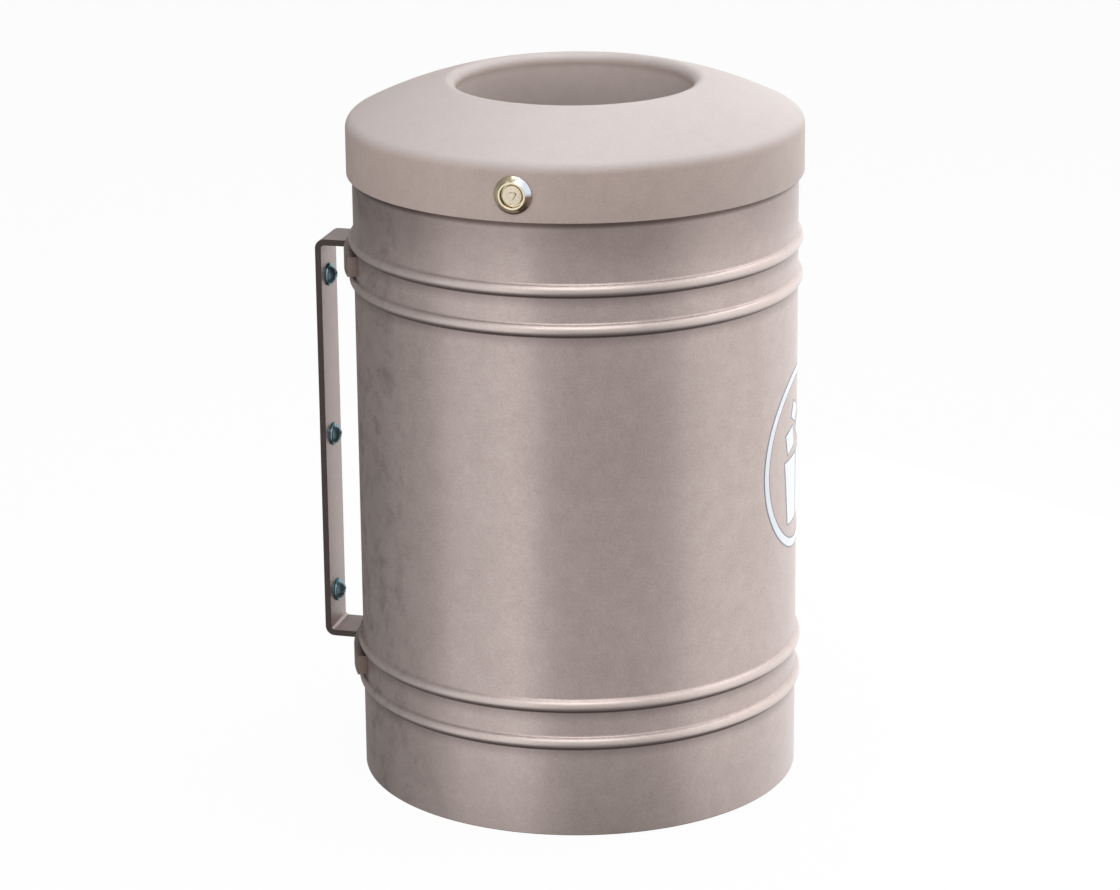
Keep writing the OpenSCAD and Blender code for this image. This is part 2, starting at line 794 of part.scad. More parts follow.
// Galvanised liner: beaded wall with a wired rim
module liner_wall()
    color(zinc)
        difference() {
            union() {
                beaded_wall(liner_r, liner_t, liner_z, rim_z - rim_wire_r,
                            [liner_z + liner_bead_low, liner_z + liner_bead_high],
                            liner_bead_w, liner_bead_h, liner_bead_h);
                rotate_extrude()
                    translate([liner_in_r + rim_wire_r, rim_z - rim_wire_r])
                        circle(r = rim_wire_r);
            }
            for (az = [front_az, bracket_az], s = [-1, 1])
                rivet_hole(az + s * bearing(clip_rivet_x, liner_in_r), clip_rivet_z,
                           liner_in_r - over, liner_r + over);
        }

// Floor of the liner, with a turned-down flange seamed into the wall
module liner_floor()
    color(zinc)
        difference() {
            rotate_extrude() {
                translate([0, liner_z + liner_foot_h])
                    square([liner_in_r, liner_t]);
                translate([liner_in_r - liner_t, liner_z + liner_foot_h - liner_seam_h])
                    square([liner_t, liner_seam_h + liner_t / 2]);
            }
            drain_holes();
        }

// Clip for a handle: a curved plate on the liner's inner wall and a tube for the wire's ends
module handle_clip(az)
    color(zinc)
        difference() {
            union() {
                curved_plate(liner_in_r - clip_t, liner_in_r, bearing(clip_half, liner_in_r),
                             handle_z - clip_tube_r, handle_z + clip_up, az);
                rotate([0, 0, az - 90])
                    along_x(2 * clip_half) {
                        translate([handle_y, handle_z])
                            circle(r = clip_tube_r);
                        translate([handle_y, handle_z])
                            square([liner_in_r - handle_y, clip_tube_r]);
                    }
            }
            rotate([0, 0, az - 90])
                translate([-clip_half - over, handle_y, handle_z])
                    rotate([0, 90, 0])
                        cylinder(r = wire_r + run, h = 2 * (clip_half + over));
            for (s = [-1, 1])
                rivet_hole(az + s * bearing(clip_rivet_x, liner_in_r), clip_rivet_z,
                           liner_in_r - clip_t - over, liner_in_r + over);
            difference() {
                translate([0, 0, handle_z - clip_tube_r - over])
                    cylinder(r = liner_r + 2 * over, h = clip_up + clip_tube_r + 2 * over);
                translate([0, 0, handle_z - clip_tube_r - 2 * over])
                    cylinder(r = liner_in_r, h = clip_up + clip_tube_r + 4 * over);
            }
        }

module front_handle_clip()
    handle_clip(front_az);

module rear_handle_clip()
    handle_clip(bracket_az);

module clip_rivets()
    color(zinc)
        for (az = [front_az, bracket_az], s = [-1, 1])
            radial(az + s * bearing(clip_rivet_x, liner_in_r), clip_rivet_z, liner_r)
                rivet(clip_t + liner_t + run);

// Bend of the handle's wire in the plane of X and Z, starting at angle a
module wire_bend(a)
    rotate([90, 0, 0])
        rotate([0, 0, a])
            rotate_extrude(angle = 90)
                translate([handle_bend_r, 0])
                    circle(r = wire_r);

// Wire handle hanging from its axis, which runs along X
module handle_wire() {
    out = handle_half - handle_bend_r;
    low = handle_drop - handle_bend_r;
    for (s = [0, 1])
        mirror([s, 0, 0]) {
            translate([wire_end, 0, 0])
                rotate([0, 90, 0])
                    cylinder(r = wire_r, h = out - wire_end);
            translate([out, 0, -handle_bend_r])
                wire_bend(0);
            translate([handle_half, 0, -low])
                cylinder(r = wire_r, h = low - handle_bend_r);
            translate([out, 0, -low])
                wire_bend(270);
        }
    translate([-out, 0, -handle_drop])
        rotate([0, 90, 0])
            cylinder(r = wire_r, h = 2 * out);
}

module front_handle()
    color(zinc)
        translate([0, -handle_y, handle_z])
            handle_wire();

module rear_handle()
    color(zinc)
        translate([0, handle_y, handle_z])
            handle_wire();

body_shell();
base_plate();
upper_saddle();
lower_saddle();
saddle_washers();
saddle_screws();
wall_bracket();
wall_screws();
lock_keeper();
hinge_fixed_leaf();
fixed_leaf_rivets();
hinge_pin();
lid_dome();
lid_skirt();
mouth_collar();
hinge_lid_leaf();
lid_leaf_rivets();
lock_housing();
lock_nut();
lock_plug();
lock_cam();
cam_washer();
cam_screw();
liner_wall();
liner_floor();
front_handle_clip();
rear_handle_clip();
clip_rivets();
front_handle();
rear_handle();
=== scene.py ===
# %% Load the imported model
import json

import bmesh
import bpy
import numpy as np
from mathutils import Matrix


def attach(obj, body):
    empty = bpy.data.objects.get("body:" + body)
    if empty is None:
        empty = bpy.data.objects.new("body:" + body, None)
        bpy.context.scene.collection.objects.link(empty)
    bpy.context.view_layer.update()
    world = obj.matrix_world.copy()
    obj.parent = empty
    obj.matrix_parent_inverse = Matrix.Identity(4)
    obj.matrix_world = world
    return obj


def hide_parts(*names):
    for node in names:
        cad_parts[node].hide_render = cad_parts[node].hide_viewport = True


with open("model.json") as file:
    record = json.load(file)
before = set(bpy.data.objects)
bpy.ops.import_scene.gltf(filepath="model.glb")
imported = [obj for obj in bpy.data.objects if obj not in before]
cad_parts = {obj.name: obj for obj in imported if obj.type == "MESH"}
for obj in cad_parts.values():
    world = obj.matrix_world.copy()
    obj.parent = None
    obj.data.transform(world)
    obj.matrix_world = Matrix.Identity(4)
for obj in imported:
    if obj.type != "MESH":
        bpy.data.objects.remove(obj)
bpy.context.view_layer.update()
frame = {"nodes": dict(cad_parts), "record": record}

MM = 0.001
nodes = frame["nodes"]

# %% [markdown]
# # A painted wall bin
# The bin is a rolled steel tube with beads, under a spun lid that slips over it. The exact solids
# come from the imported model, so this file is about what the eye adds: smooth turned surfaces, soft
# edges, and finishes such as satin paint, nickel and galvanised sheet. Everything is in metres, in
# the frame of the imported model, but sizes are written in millimetres and scaled once.

# %% [markdown]
# ## Surfaces from numbers
# A turned or rolled piece is a function of two parameters: how far along its section, and how far
# round. Working out the whole grid of points as one array is quicker than adding vertices one by
# one, and the shape stays readable as a formula. Grids that meet are merged where their points
# fall together, which closes seams and poles.


# %% Faces of a grid
def quads_of(grid, around, along, first):
    """Four neighbours of grid[i, j] make a quad. With around, the last column joins column 0, and
    with along, the last row joins row 0."""
    rows, cols = grid.shape[:2]
    i = np.arange(rows if along else rows - 1)[:, None]
    j = np.arange(cols if around else cols - 1)[None, :]
    below, beside = (i + 1) % rows, (j + 1) % cols
    corners = [i * cols + j, below * cols + j, below * cols + beside, i * cols + beside]
    return first + np.stack(corners, -1).reshape(-1, 4)


# %% Mesh of several grids
WELD_M, SLIVER_M, SHARP_DEG = 2e-6, 1e-6, 38


def mesh_of(name, grids):
    """Joins grids given as (points in mm, around, along) to one closed mesh in metres, with faces
    outwards. Edges over SHARP_DEG stay sharp."""
    points, faces, first = [], [], 0
    for grid, around, along in grids:
        points.append(grid.reshape(-1, 3))
        faces.append(quads_of(grid, around, along, first))
        first += grid.shape[0] * grid.shape[1]
    points, faces = np.concatenate(points) * MM, np.concatenate(faces)
    mesh = bpy.data.meshes.new(name)
    mesh.vertices.add(len(points))
    mesh.vertices.foreach_set("co", points.ravel().astype(np.float32))
    mesh.loops.add(faces.size)
    mesh.loops.foreach_set("vertex_index", faces.ravel().astype(np.int32))
    mesh.polygons.add(len(faces))
    mesh.polygons.foreach_set("loop_start", np.arange(0, faces.size, 4, dtype=np.int32))
    mesh.update(calc_edges=True)
    edit = bmesh.new()
    edit.from_mesh(mesh)
    bmesh.ops.remove_doubles(edit, verts=edit.verts, dist=WELD_M)
    bmesh.ops.dissolve_degenerate(edit, edges=edit.edges, dist=SLIVER_M)
    bmesh.ops.recalc_face_normals(edit, faces=edit.faces)
    open_edges = sum(1 for e in edit.edges if len(e.link_faces) != 2)
    edit.to_mesh(mesh)
    edit.free()
    mesh.polygons.foreach_set("use_smooth", np.ones(len(mesh.polygons), bool))
    mesh.set_sharp_from_angle(angle=np.radians(SHARP_DEG))
    print(f"{name}: {len(mesh.polygons)} faces, {open_edges} open edges")
    return mesh


# %% Pieces
def add(name, data):
    """New object with the given data, linked to the scene."""
    thing = bpy.data.objects.new(name, data)
    bpy.context.scene.collection.objects.link(thing)
    return thing


def place(name, grids, body, finish, replaces=()):
    """Makes one piece from its grids, gives it its finish, lets it ride on a body and hides the
    parts it replaces.
    """
    piece = add(name, mesh_of(name, grids))
    piece.data.materials.append(finish)
    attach(piece, body)
    if replaces:
        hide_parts(*replaces)


# %% Sections and turned surfaces
def arc(x, y, radius, start, end, steps):
    """Points (x + r cos a, y + r sin a) with a from start to end in degrees."""
    a = np.radians(np.linspace(start, end, steps + 1))
    return np.stack([x + radius * np.cos(a), y + radius * np.sin(a)], -1)


def bisected(corners):
    """Corners of a closed outline as an array, with unit vectors from each to the corner before it,
    to the one after it and along the bisector between the two."""
    c = np.asarray(corners, float)
    back, ahead = np.roll(c, 1, 0) - c, np.roll(c, -1, 0) - c
    back, ahead = (v / np.linalg.norm(v, axis=1, keepdims=True) for v in (back, ahead))
    middle = back + ahead
    return c, back, ahead, middle / np.linalg.norm(middle, axis=1, keepdims=True)


def rounded(corners, radius, steps):
    """Each corner of a closed outline becomes an arc of radius r tangent to both sides.
    With w half the angle at the corner, the arc starts r / tan w along each side and its
    centre lies r / sin w along the bisector."""
    c, back, ahead, middle = bisected(corners)
    half = 0.5 * np.arccos(np.clip((back * ahead).sum(1, keepdims=True), -1, 1))
    centre = c + middle * radius / np.sin(half)
    a, b = c + back * radius / np.tan(half) - centre, c + ahead * radius / np.tan(half) - centre
    sweep = (np.pi - 2 * half)[:, None]
    t = np.linspace(0, 1, steps + 1)[None, :, None]
    mix = np.sin((1 - t) * sweep) * a[:, None] + np.sin(t * sweep) * b[:, None]
    return (centre[:, None] + mix / np.sin(sweep)).reshape(-1, 2)


def turned(section, sides=240):
    """Point (r, z) of the section goes to (r cos a, r sin a, z) for each angle a."""
    a = np.linspace(0, 2 * np.pi, sides, endpoint=False)[:, None]
    r, z = section[None, :, 0], section[None, :, 1]
    return np.stack([r * np.cos(a), r * np.sin(a), z + 0 * a], -1)


def rod(radius, low, high, sides):
    """Closed cylinder: the turned section (0, high), (r, high), (r, low), (0, low)."""
    return turned(np.array([[0, high], [radius, high], [radius, low], [0, low]]), sides)


# %% [markdown]
# ## The camera
# The photograph was taken from the side of the lock, a little above the lid, through a long lens.
# Lens, height, distance and tilt were fitted to the outlines of the tube, beads and mouth, so the
# camera needs no shift. It could be aimed with a Track To constraint, but a fitted camera is just
# its numbers. Its matrix has four columns: its right, its up, its back and its place.

# %% Camera
FOCAL_PX, WIDTH_PX, SENSOR = 3927.6, 1120, 36
BEARING, PITCH, ROLL, YAW = np.radians(-75), 0.30297, 0.00968, 0.0047
DISTANCE, HEIGHT, SIGHT = 3.0863, 1.2361, 60


def turn(angle, axis):
    """Rotation by an angle in radians as an array."""
    return np.array(Matrix.Rotation(angle, 3, axis))


def standing(right, up, back, spot):
    """Matrix whose columns are an object's right, up, back and place."""
    matrix = np.eye(4)
    matrix[:3] = np.stack([right, up, back, spot], 1)
    return Matrix(matrix.tolist())


bearing = turn(BEARING, "Z")
view = bearing @ turn(YAW, "Z") @ turn(-PITCH, "X") @ turn(ROLL, "Y")
spot = bearing @ np.array([0, -DISTANCE, HEIGHT])
camera_data = bpy.data.cameras.new("camera")
camera_data.sensor_width = SENSOR
camera_data.lens = FOCAL_PX / WIDTH_PX * SENSOR
camera_data.clip_end = SIGHT
camera = add("camera", camera_data)
camera.matrix_world = standing(view[:, 0], view[:, 2], -view[:, 1], spot)
bpy.context.scene.camera = camera
print("lens:", round(camera_data.lens, 1), "mm, camera at", np.round(spot, 2))

# %% [markdown]
# ## Shader maths
# A finish is easier to read as a sum than as a web of nodes. One small class wraps a socket, so
# that an expression such as 0.4 + 0.1 * grain adds its Math nodes, and one method adds any other
# node from its type, its settings and the values or links of its sockets.


# %% Socket arithmetic
class Signal:
    """A socket that a node gives out, with sums and products that add Math nodes."""

    def __init__(self, sheet, socket):
        self.sheet, self.socket = sheet, socket

    def __add__(self, other):
        return self.sheet.maths("ADD", self, other)

    def __sub__(self, other):
        return self.sheet.maths("SUBTRACT", self, other)

    def __rsub__(self, other):
        return self.sheet.maths("SUBTRACT", other, self)

    def __mul__(self, other):
        return self.sheet.maths("MULTIPLY", self, other)

    __radd__, __rmul__ = __add__, __mul__


# %% Nodes and links
class NodeSheet:
    """Adds nodes and links to one node tree."""

    def __init__(self, owner):
        owner.use_nodes = True
        self.tree = owner.node_tree

    def set(self, node, sockets):
        """Links a socket where its value is a Signal, and sets it otherwise."""
        for key, value in sockets.items():
            socket = node.inputs[key.replace("_", " ") if isinstance(key, str) else key]
            if isinstance(value, Signal):
                self.tree.links.new(value.socket, socket)
            else:
                socket.default_value = value

    def node(self, kind, settings, sockets, output=0):
        """Adds a node of a kind: its settings first, then the values or links of its sockets."""
        node = self.tree.nodes.new(kind)
        for key, value in settings.items():
            setattr(node, key, value)
        self.set(node, sockets)
        return Signal(self, node.outputs[output])

    def maths(self, operation, first, second=0.0):
        """Maths on one or two numbers."""
        return self.node("ShaderNodeMath", {"operation": operation}, {0: first, 1: second})

    def vector(self, operation, *values):
        """Vector maths on up to three values. A length or a dot product comes out as a number."""
        output = 1 if operation in ("LENGTH", "DOT_PRODUCT") else 0
        sockets = dict(enumerate(values))
        return self.node("ShaderNodeVectorMath", {"operation": operation}, sockets, output)

    def split(self, vector):
        """X, Y and Z of a vector as three signals."""
        parts = self.node("ShaderNodeSeparateXYZ", {}, {"Vector": vector})
        return [Signal(self, socket) for socket in parts.socket.node.outputs]

    def band(self, value, low, high):
        """0 below low, 1 above high, and a smooth step between."""
        sockets = {"Value": value, "From Min": low, "From Max": high}
        return self.node("ShaderNodeMapRange", {"interpolation_type": "SMOOTHSTEP"}, sockets)

    def cut_out(self, lit, direct, mirrored):
        """White by one share to the camera and by another to reflections. All other light meets the
        lit shader alone."""
        camera = self.node("ShaderNodeLightPath", {}, {}, "Is Camera Ray")
        rays = camera.socket.node.outputs
        bent = Signal(self, rays["Is Glossy Ray"]) + Signal(self, rays["Is Transmission Ray"])
        glow = self.node("ShaderNodeEmission", {}, {"Color": (1, 1, 1, 1), "Strength": 1.0})
        share = camera * direct + bent * mirrored
        return self.node("ShaderNodeMixShader", {}, {0: share, 1: lit, 2: glow})


# %% Materials
class Finish(NodeSheet):
    """A material whose principled shader takes fixed values at first, and in wear() the values
    that are worked out."""

    def __init__(self, name, **fixed):
        self.material = bpy.data.materials.new(name)
        super().__init__(self.material)
        self.shader = self.tree.nodes["Principled BSDF"]
        self.set(self.shader, fixed)
        self.place = self.node("ShaderNodeTexCoord", {}, {}, "Object")

    def noise(self, scale, detail=2, rough=0.5):
        """Noise whose patches are about 1 / scale metres wide."""
        sockets = {"Vector": self.place, "Scale": scale, "Detail": detail, "Roughness": rough}
        return self.node("ShaderNodeTexNoise", {}, sockets)

    def blend(self, amount, first, second):
        """Colour mixed from first at amount 0 to second at 1."""
        settings = {"data_type": "RGBA", "clamp_factor": True}
        return self.node("ShaderNodeMix", settings, {0: amount, 6: first, 7: second}, 2)

    def bump(self, height, strength, distance, after=None):
        """Normals tilted by the slope of a height, on top of the normals of after where given."""
        sockets = {"Height": height, "Strength": strength, "Distance": distance}
        if after:
            sockets["Normal"] = after
        return self.node("ShaderNodeBump", {}, sockets)

    def soft_edges(self, radius):
        """Normals that turn over an edge as if it were rounded, where the mesh stays exact."""
        return self.node("ShaderNodeBevel", {"samples": 6}, {"Radius": radius})

    def wear(self, **sockets):
        """Sets the shader's worked-out sockets and hands over the material."""
        self.set(self.shader, sockets)
        return self.material


# %% Colours
def srgb(r, g, b):
    """Linear colour of an 8-bit one: ((c + 0.055) / 1.055) ^ 2.4."""
    c = ((np.array([r, g, b]) / 255 + 0.055) / 1.055) ** 2.4
    return (*c.tolist(), 1.0)


# %% [markdown]
# ## Satin paint
# Shell and bracket wear a warm taupe-grey paint with a metallic pigment. It shows lamps as broad
# soft bands and stays dark between them. From near by it has a fine speckle and a shallow orange
# peel, so its colour is two near tones mixed by a fine, a middle and a broad noise, and the same
# noises vary the gloss and a low bump. A picture of paint could be wrapped round instead, but noise
# in Object coordinates has no seam and holds from near and far. Inner corners get painted shade: the
# Ambient Occlusion node finds them by asking how much of the near sky over a point is open.


# %% Paint
CORNER_REACH_M, CORNER_SHARE, CORNER_SHADE = 0.014, 0.5, srgb(70, 58, 54)
TONE_STRETCH, PEEL_STRENGTH, PEEL_DEPTH_M = 3.2, 0.2, 0.0003


class Paint(Finish):
    """Two near tones mixed by a fine, a middle and a broad noise, with a bump from fine ones."""

    def __init__(self, name, pigment, gloss, tones, **fixed):
        super().__init__(name, Metallic=pigment, **fixed)
        speckle, patch = self.noise(620, 3, 0.75), self.noise(75, 5, 0.65)
        cloud, peel = self.noise(14, 3, 0.6), self.noise(260, 2, 0.5)
        # Three weights that add up to 1, and a stretch of the noise's narrow range over both tones.
        spread = (speckle * 0.55 + patch * 0.27 + cloud * 0.18 - 0.5) * TONE_STRETCH + 0.5
        self.axes = self.split(self.place)
        self.tone = self.blend(spread, *tones)
        # painted shade: inner corners, where little of the near sky is open, are darkened
        self.lay_colour(self.corners() * CORNER_SHARE, CORNER_SHADE)
        self.gloss = gloss + 0.08 * cloud + 0.06 * speckle
        self.normal = self.bump(peel + speckle * 0.25, PEEL_STRENGTH, PEEL_DEPTH_M)

    def lay_colour(self, amount, colour):
        """Blends an amount of a colour over the tone so far."""
        self.tone = self.blend(amount, self.tone, colour)

    def corners(self):
        """1 where a tenth of the near sky is open or less, 0 where it is 85 hundredths or more."""
        sockets = {"Distance": CORNER_REACH_M}
        open_sky = self.node("ShaderNodeAmbientOcclusion", {"samples": 6}, sockets, 1)
        return 1 - self.band(open_sky, 0.1, 0.85)

    def from_axis(self):
        """Distance of a point from the bin's axis: the length of (x, y, 0)."""
        return self.vector("LENGTH", self.vector("MULTIPLY", self.place, (1, 1, 0)))

    def facing_up(self):
        """Height of the surface's unit normal: 1 on a top, 0 on a wall, -1 on an underside."""
        return self.split(self.node("ShaderNodeTexCoord", {}, {}, "Normal"))[2]

    def done(self):
        """Puts tone, gloss and bump on the shader."""
        return self.wear(Base_Color=self.tone, Roughness=self.gloss, Normal=self.normal)


# %% [markdown]
# ## Painted shade and light on the shell
# Shade is painted into the shell's colour where the lid and the beads hide it from the light: under
# the lid's edge, as a thin dark line just under the skirt, below each bead and on faces that look
# down. The crowns of the beads get a paler colour as a painted highlight, and the tube turns a
# little darker towards the foot. Patches of dirt lie on the side next to the wall that the bin hangs
# on.
# Painting these masks by hand would tie them to one mesh. As smooth steps in height, depth or
# distance from the axis they stay where they belong.

# %% Paint of the shell
BEADS_Z = [79.25, 110.75, 419.25, 450.75]
PIGMENT, GLOSS = 0.9, 0.34
TAUPE = [srgb(163, 148, 143), srgb(186, 171, 166)]
SHADE_TONE, CROWN_HIGHLIGHT = srgb(96, 82, 77), srgb(222, 210, 204)
GRIME, UNDERSIDE_SHADE = srgb(92, 78, 74), srgb(84, 70, 65)
wall = Paint("satin_taupe", PIGMENT, GLOSS, TAUPE)


def rising(low, high):
    """Smooth step over the wall's height, between two heights in mm."""
    return wall.band(wall.axes[2], low * MM, high * MM)


unevenness = wall.noise(24, 4, 0.6)
below_skirt = 1 - rising(506, 510)  # 1 below the lid's skirt and 0 above it, where the skirt hides the tube
lid_shadow = rising(440, 505) * below_skirt * (0.7 + 0.6 * unevenness)
near_foot = (1 - rising(0, 75)) * (0.5 + 0.6 * unevenness)
skirt_shadow_line = rising(498.5, 502.5) * below_skirt
bead_shade = sum(rising(z - 16, z - 5) - rising(z - 4.5, z - 1) for z in BEADS_Z)
# painted shade under the lid, a painted shadow line just under the skirt and painted shade below
# each bead, with the tube a little darker towards the foot
wall.lay_colour(lid_shadow * 0.39 + near_foot * 0.06 + skirt_shadow_line * 0.6 + bead_shade * 0.4, SHADE_TONE)

# %% Grime, shaded undersides and highlit crowns
WALL_SIDE_M, CROWNS_M = (0.05, 0.165), (0.1815, 0.1838)
wall_side = wall.band(wall.axes[1], *WALL_SIDE_M)
wall.lay_colour(wall.band(wall.noise(48, 7, 0.78), 0.46, 0.68) * wall_side * 0.5, GRIME)
# painted shade: faces that look down are darkened
wall.lay_colour((1 - wall.band(wall.facing_up(), -0.5, -0.1)) * 0.6, UNDERSIDE_SHADE)
# painted highlight: the crowns of the beads are made paler
wall.lay_colour(wall.band(wall.from_axis(), *CROWNS_M) * 0.3, CROWN_HIGHLIGHT)
wall_paint = wall.done()
# the beads below which shade is painted
print("beads that catch dirt:", len(BEADS_Z))

# %% [markdown]
# ## Paint of the lid, the fittings and the bar
# The lid's coat has the shell's tone but is matt: no metallic pigment, and a higher index of
# refraction for its soft sheen. Faces that look up are made paler and greyer as a painted sheen of
# the light from above, and the inside of the mouth is painted paler in place of the light that
# reaches into it. The bar's narrow cut edges are coloured nearly black. The saddles take a darker
# copy of the paint as painted shade, since they sit in the shade of the beads. One material
# could carry all the masks, but with a paint for each part every mask stays one line.

# %% Paint of the lid
INSIDE_M, BELOW_LIP_M = (0.0955, 0.0985), (0.566, 0.574)
TOP_SHEEN, PAINTED_MOUTH_LIGHT = srgb(190, 188, 188), srgb(221, 204, 197)
LID_TONES = [srgb(168, 148, 140), srgb(188, 167, 158)]
lid = Paint("matt_taupe", 0.0, 0.46, LID_TONES, IOR=1.7)
# painted sheen: faces that look up are made paler and greyer, as the light from above would
lid.lay_colour(lid.band(lid.facing_up(), 0.1, 0.75) * 0.38, TOP_SHEEN)
below_lip = 1 - lid.band(lid.axes[2], *BELOW_LIP_M)
in_mouth = (1 - lid.band(lid.from_axis(), *INSIDE_M)) * below_lip
# painted light: the inside of the mouth is made paler
lid.lay_colour(in_mouth * (0.6 + 0.5 * lid.noise(60, 4, 0.7)), PAINTED_MOUTH_LIGHT)
lid_paint = lid.done()

# %% Paint of fittings and bar
EDGE_M, EDGE_TONE, SADDLE_GLOSS = (0.0192, 0.0197), srgb(40, 32, 30), 0.38
SADDLE_SHADED_TONES = [srgb(124, 110, 104), srgb(146, 131, 125)]
fittings_paint = Paint("satin_taupe_fittings", PIGMENT, GLOSS, TAUPE).done()
# painted shade: the saddles take a darker copy of the taupe, as they sit in the beads' shade
shaded_saddle_paint = Paint("satin_taupe_saddles_shaded", PIGMENT, SADDLE_GLOSS, SADDLE_SHADED_TONES).done()
bar = Paint("satin_taupe_bar", PIGMENT, GLOSS, TAUPE)
# the bar's narrow cut edges, whose faces look along x, are coloured nearly black
cut_edge = bar.band(bar.maths("ABSOLUTE", bar.axes[0]), *EDGE_M)
bar.lay_colour(cut_edge * 0.92, EDGE_TONE)
bar_paint = bar.done()
print("paints:", [m.name for m in bpy.data.materials if "taupe" in m.name])

# %% [markdown]
# ## Bare metals
# The lock is nickel plate gone cream with age. Reflections are painted into its bezel as hard
# sectors, told by clock direction round the lock's axis: a bright glint, a brown reflection next to
# it and a dark one at the bottom of the rim. The wall screws are zinc with a blue-green passivation,
# the hidden fasteners plain zinc. The liner is galvanised sheet, whose crystals show as patches a
# few
# millimetres wide: a Voronoi texture, warped a little so that its borders aren't straight. One flat
# colour for each would be quicker, but plate is known by its small unevenness, so noise moves tone
# and gloss.


# %% Zinc plate
def plated(name, dark, light, gloss, grain, edge=0.0):
    """Zinc between two near tones, by a fine and a broad noise, with soft edges where asked."""
    metal = Finish(name, Metallic=1.0)
    fine, broad = metal.noise(grain, 3, 0.6), metal.noise(60, 2, 0.5)
    tone = metal.blend(broad * 0.6 + fine * 0.4, dark, light)
    normal = metal.bump(fine, 0.1, 0.0001, metal.soft_edges(edge) if edge else None)
    return metal.wear(Base_Color=tone, Roughness=gloss + 0.12 * fine * broad, Normal=normal)


blue_zinc = plated("blue_zinc", srgb(84, 118, 128), srgb(156, 190, 202), 0.32, 500)
bright_zinc = plated("bright_zinc", srgb(150, 152, 154), srgb(200, 202, 204), 0.26, 700, 0.0004)

# %% Aged nickel with painted reflections
LOCK_Z, CONE_M, RIM_M = 526.5, (0.0108, 0.0111), (0.0122, 0.0142)
PAINTED_GLINT, PAINTED_BROWN_REFLECTION, PAINTED_DARK_RIM = srgb(226, 232, 244), srgb(118, 84, 76), srgb(70, 64, 46)


def nickel_with_reflections(name, dark, light):
    """Cream nickel with three painted reflections on the bezel: a bright glint and a brown one on
    the cone, and a dark one at the bottom of the rim. A sector is where the unit vector from the
    lock's axis has a high dot product with its hour. It begins at the product outer and is full at
    the product inner."""
    metal = Finish(name, Metallic=1.0)
    fine = metal.noise(600, 3, 0.6)
    offset = metal.vector("MULTIPLY_ADD", metal.place, (0.0, 1.0, 1.0), (0.0, 0.0, -LOCK_Z * MM))
    unit, far = metal.vector("NORMALIZE", offset), metal.vector("LENGTH", offset)
    on_cone, at_rim = metal.band(far, *CONE_M), metal.band(far, *RIM_M)
    tone = metal.blend(fine, dark, light)
    # painted reflections: a bright glint towards 1:45, a brown reflection towards 4 and a dark one
    # at the rim's bottom
    for hour, outer, inner, share, colour in ((1.75, 0.76, 0.80, on_cone * 0.9, PAINTED_GLINT),
                                              (4.05, 0.74, 0.90, on_cone * 0.85, PAINTED_BROWN_REFLECTION),
                                              (6.0, 0.45, 0.9, at_rim * 0.75, PAINTED_DARK_RIM)):
        a = np.radians(hour * 30)
        along = metal.vector("DOT_PRODUCT", unit, (0, -np.sin(a), np.cos(a)))
        tone = metal.blend(metal.band(along, outer, inner) * share, tone, colour)
    normal = metal.bump(fine, 0.03, 0.0001)
    return metal.wear(Base_Color=tone, Roughness=0.12 + 0.12 * fine, Normal=normal)


nickel = nickel_with_reflections("warm_nickel", srgb(184, 169, 141), srgb(209, 196, 170))
worn_nickel = nickel_with_reflections("worn_nickel", srgb(168, 155, 137), srgb(194, 182, 163))
print("sectors turn about the height", LOCK_Z, "mm")


# %% Galvanised sheet
def galvanised(name, edge=0.0):
    """Crystals of a warped Voronoi texture in greys and gloss, with a broad cloud over them."""
    zinc = Finish(name, Metallic=0.7)
    warped = zinc.vector("MULTIPLY_ADD", zinc.noise(40, 2), (0.01, 0.01, 0.01), zinc.place)
    sockets = {"Vector": warped, "Scale": 90}
    crystal = zinc.node("ShaderNodeTexVoronoi", {"feature": "F1"}, sockets, "Color")
    shade = zinc.node("ShaderNodeSeparateColor", {}, {"Color": crystal})
    cloud = zinc.noise(12, 3)
    tone = zinc.blend(shade * 0.55 + cloud * 0.45, srgb(160, 163, 166), srgb(206, 208, 210))
    normal = zinc.bump(cloud + shade * 0.1, 0.08, 0.0004, zinc.soft_edges(edge) if edge else None)
    return zinc.wear(Base_Color=tone, Roughness=0.34 + 0.16 * shade, Normal=normal)


liner_sheet = galvanised("galvanised_sheet")
liner_parts = galvanised("galvanised_parts", 0.0005)

# %% [markdown]
# ## The shell
# Two pairs of beads stiffen the rolled tube. Each bead is a crown between two small fillets that
# run into the wall, and the sheet keeps its thickness all along, so the same arcs give the outer
# and the inner face. The rim has a U-shaped notch for the lock. A Boolean could cut it, but would
# leave ragged faces. Here the height of the top edge is a function of the angle instead, and every
# row above PLAIN_Z stretches with it.

# %% Shell section
SHELL_R, SHELL_T, RIM_Z = 180.0, 1.5, 548.63
BEAD_W, BEAD_H, FOOT_R = 13.0, 4.0, 2.2
NOTCH_R, PLAIN_Z, RIM_BAND = 17.6, 504.0, 1.5


def beaded_face(depth, radius=SHELL_R, beads=BEADS_Z, width=BEAD_W, height=BEAD_H, foot=FOOT_R):
    """Foot, crown and foot of each bead as tangent arcs, on the face a given depth under the outer
    one. The crown of a bead w wide and h high has radius (w^2 / 4 + h^2) / 2 h less the foot's."""
    crown = (width**2 / 4 + height**2) / (2 * height) - foot
    lean = np.degrees(np.arcsin(width / 2 / (crown + foot)))
    arcs = []
    for z in beads:
        arcs += [arc(radius + foot, z - width / 2, foot + depth, 180, 180 - lean, 6),
                 arc(radius + height - crown, z, crown - depth, -lean, lean, 14),
                 arc(radius + foot, z + width / 2, foot + depth, 180 + lean, 180, 6)]
    return np.concatenate(arcs)


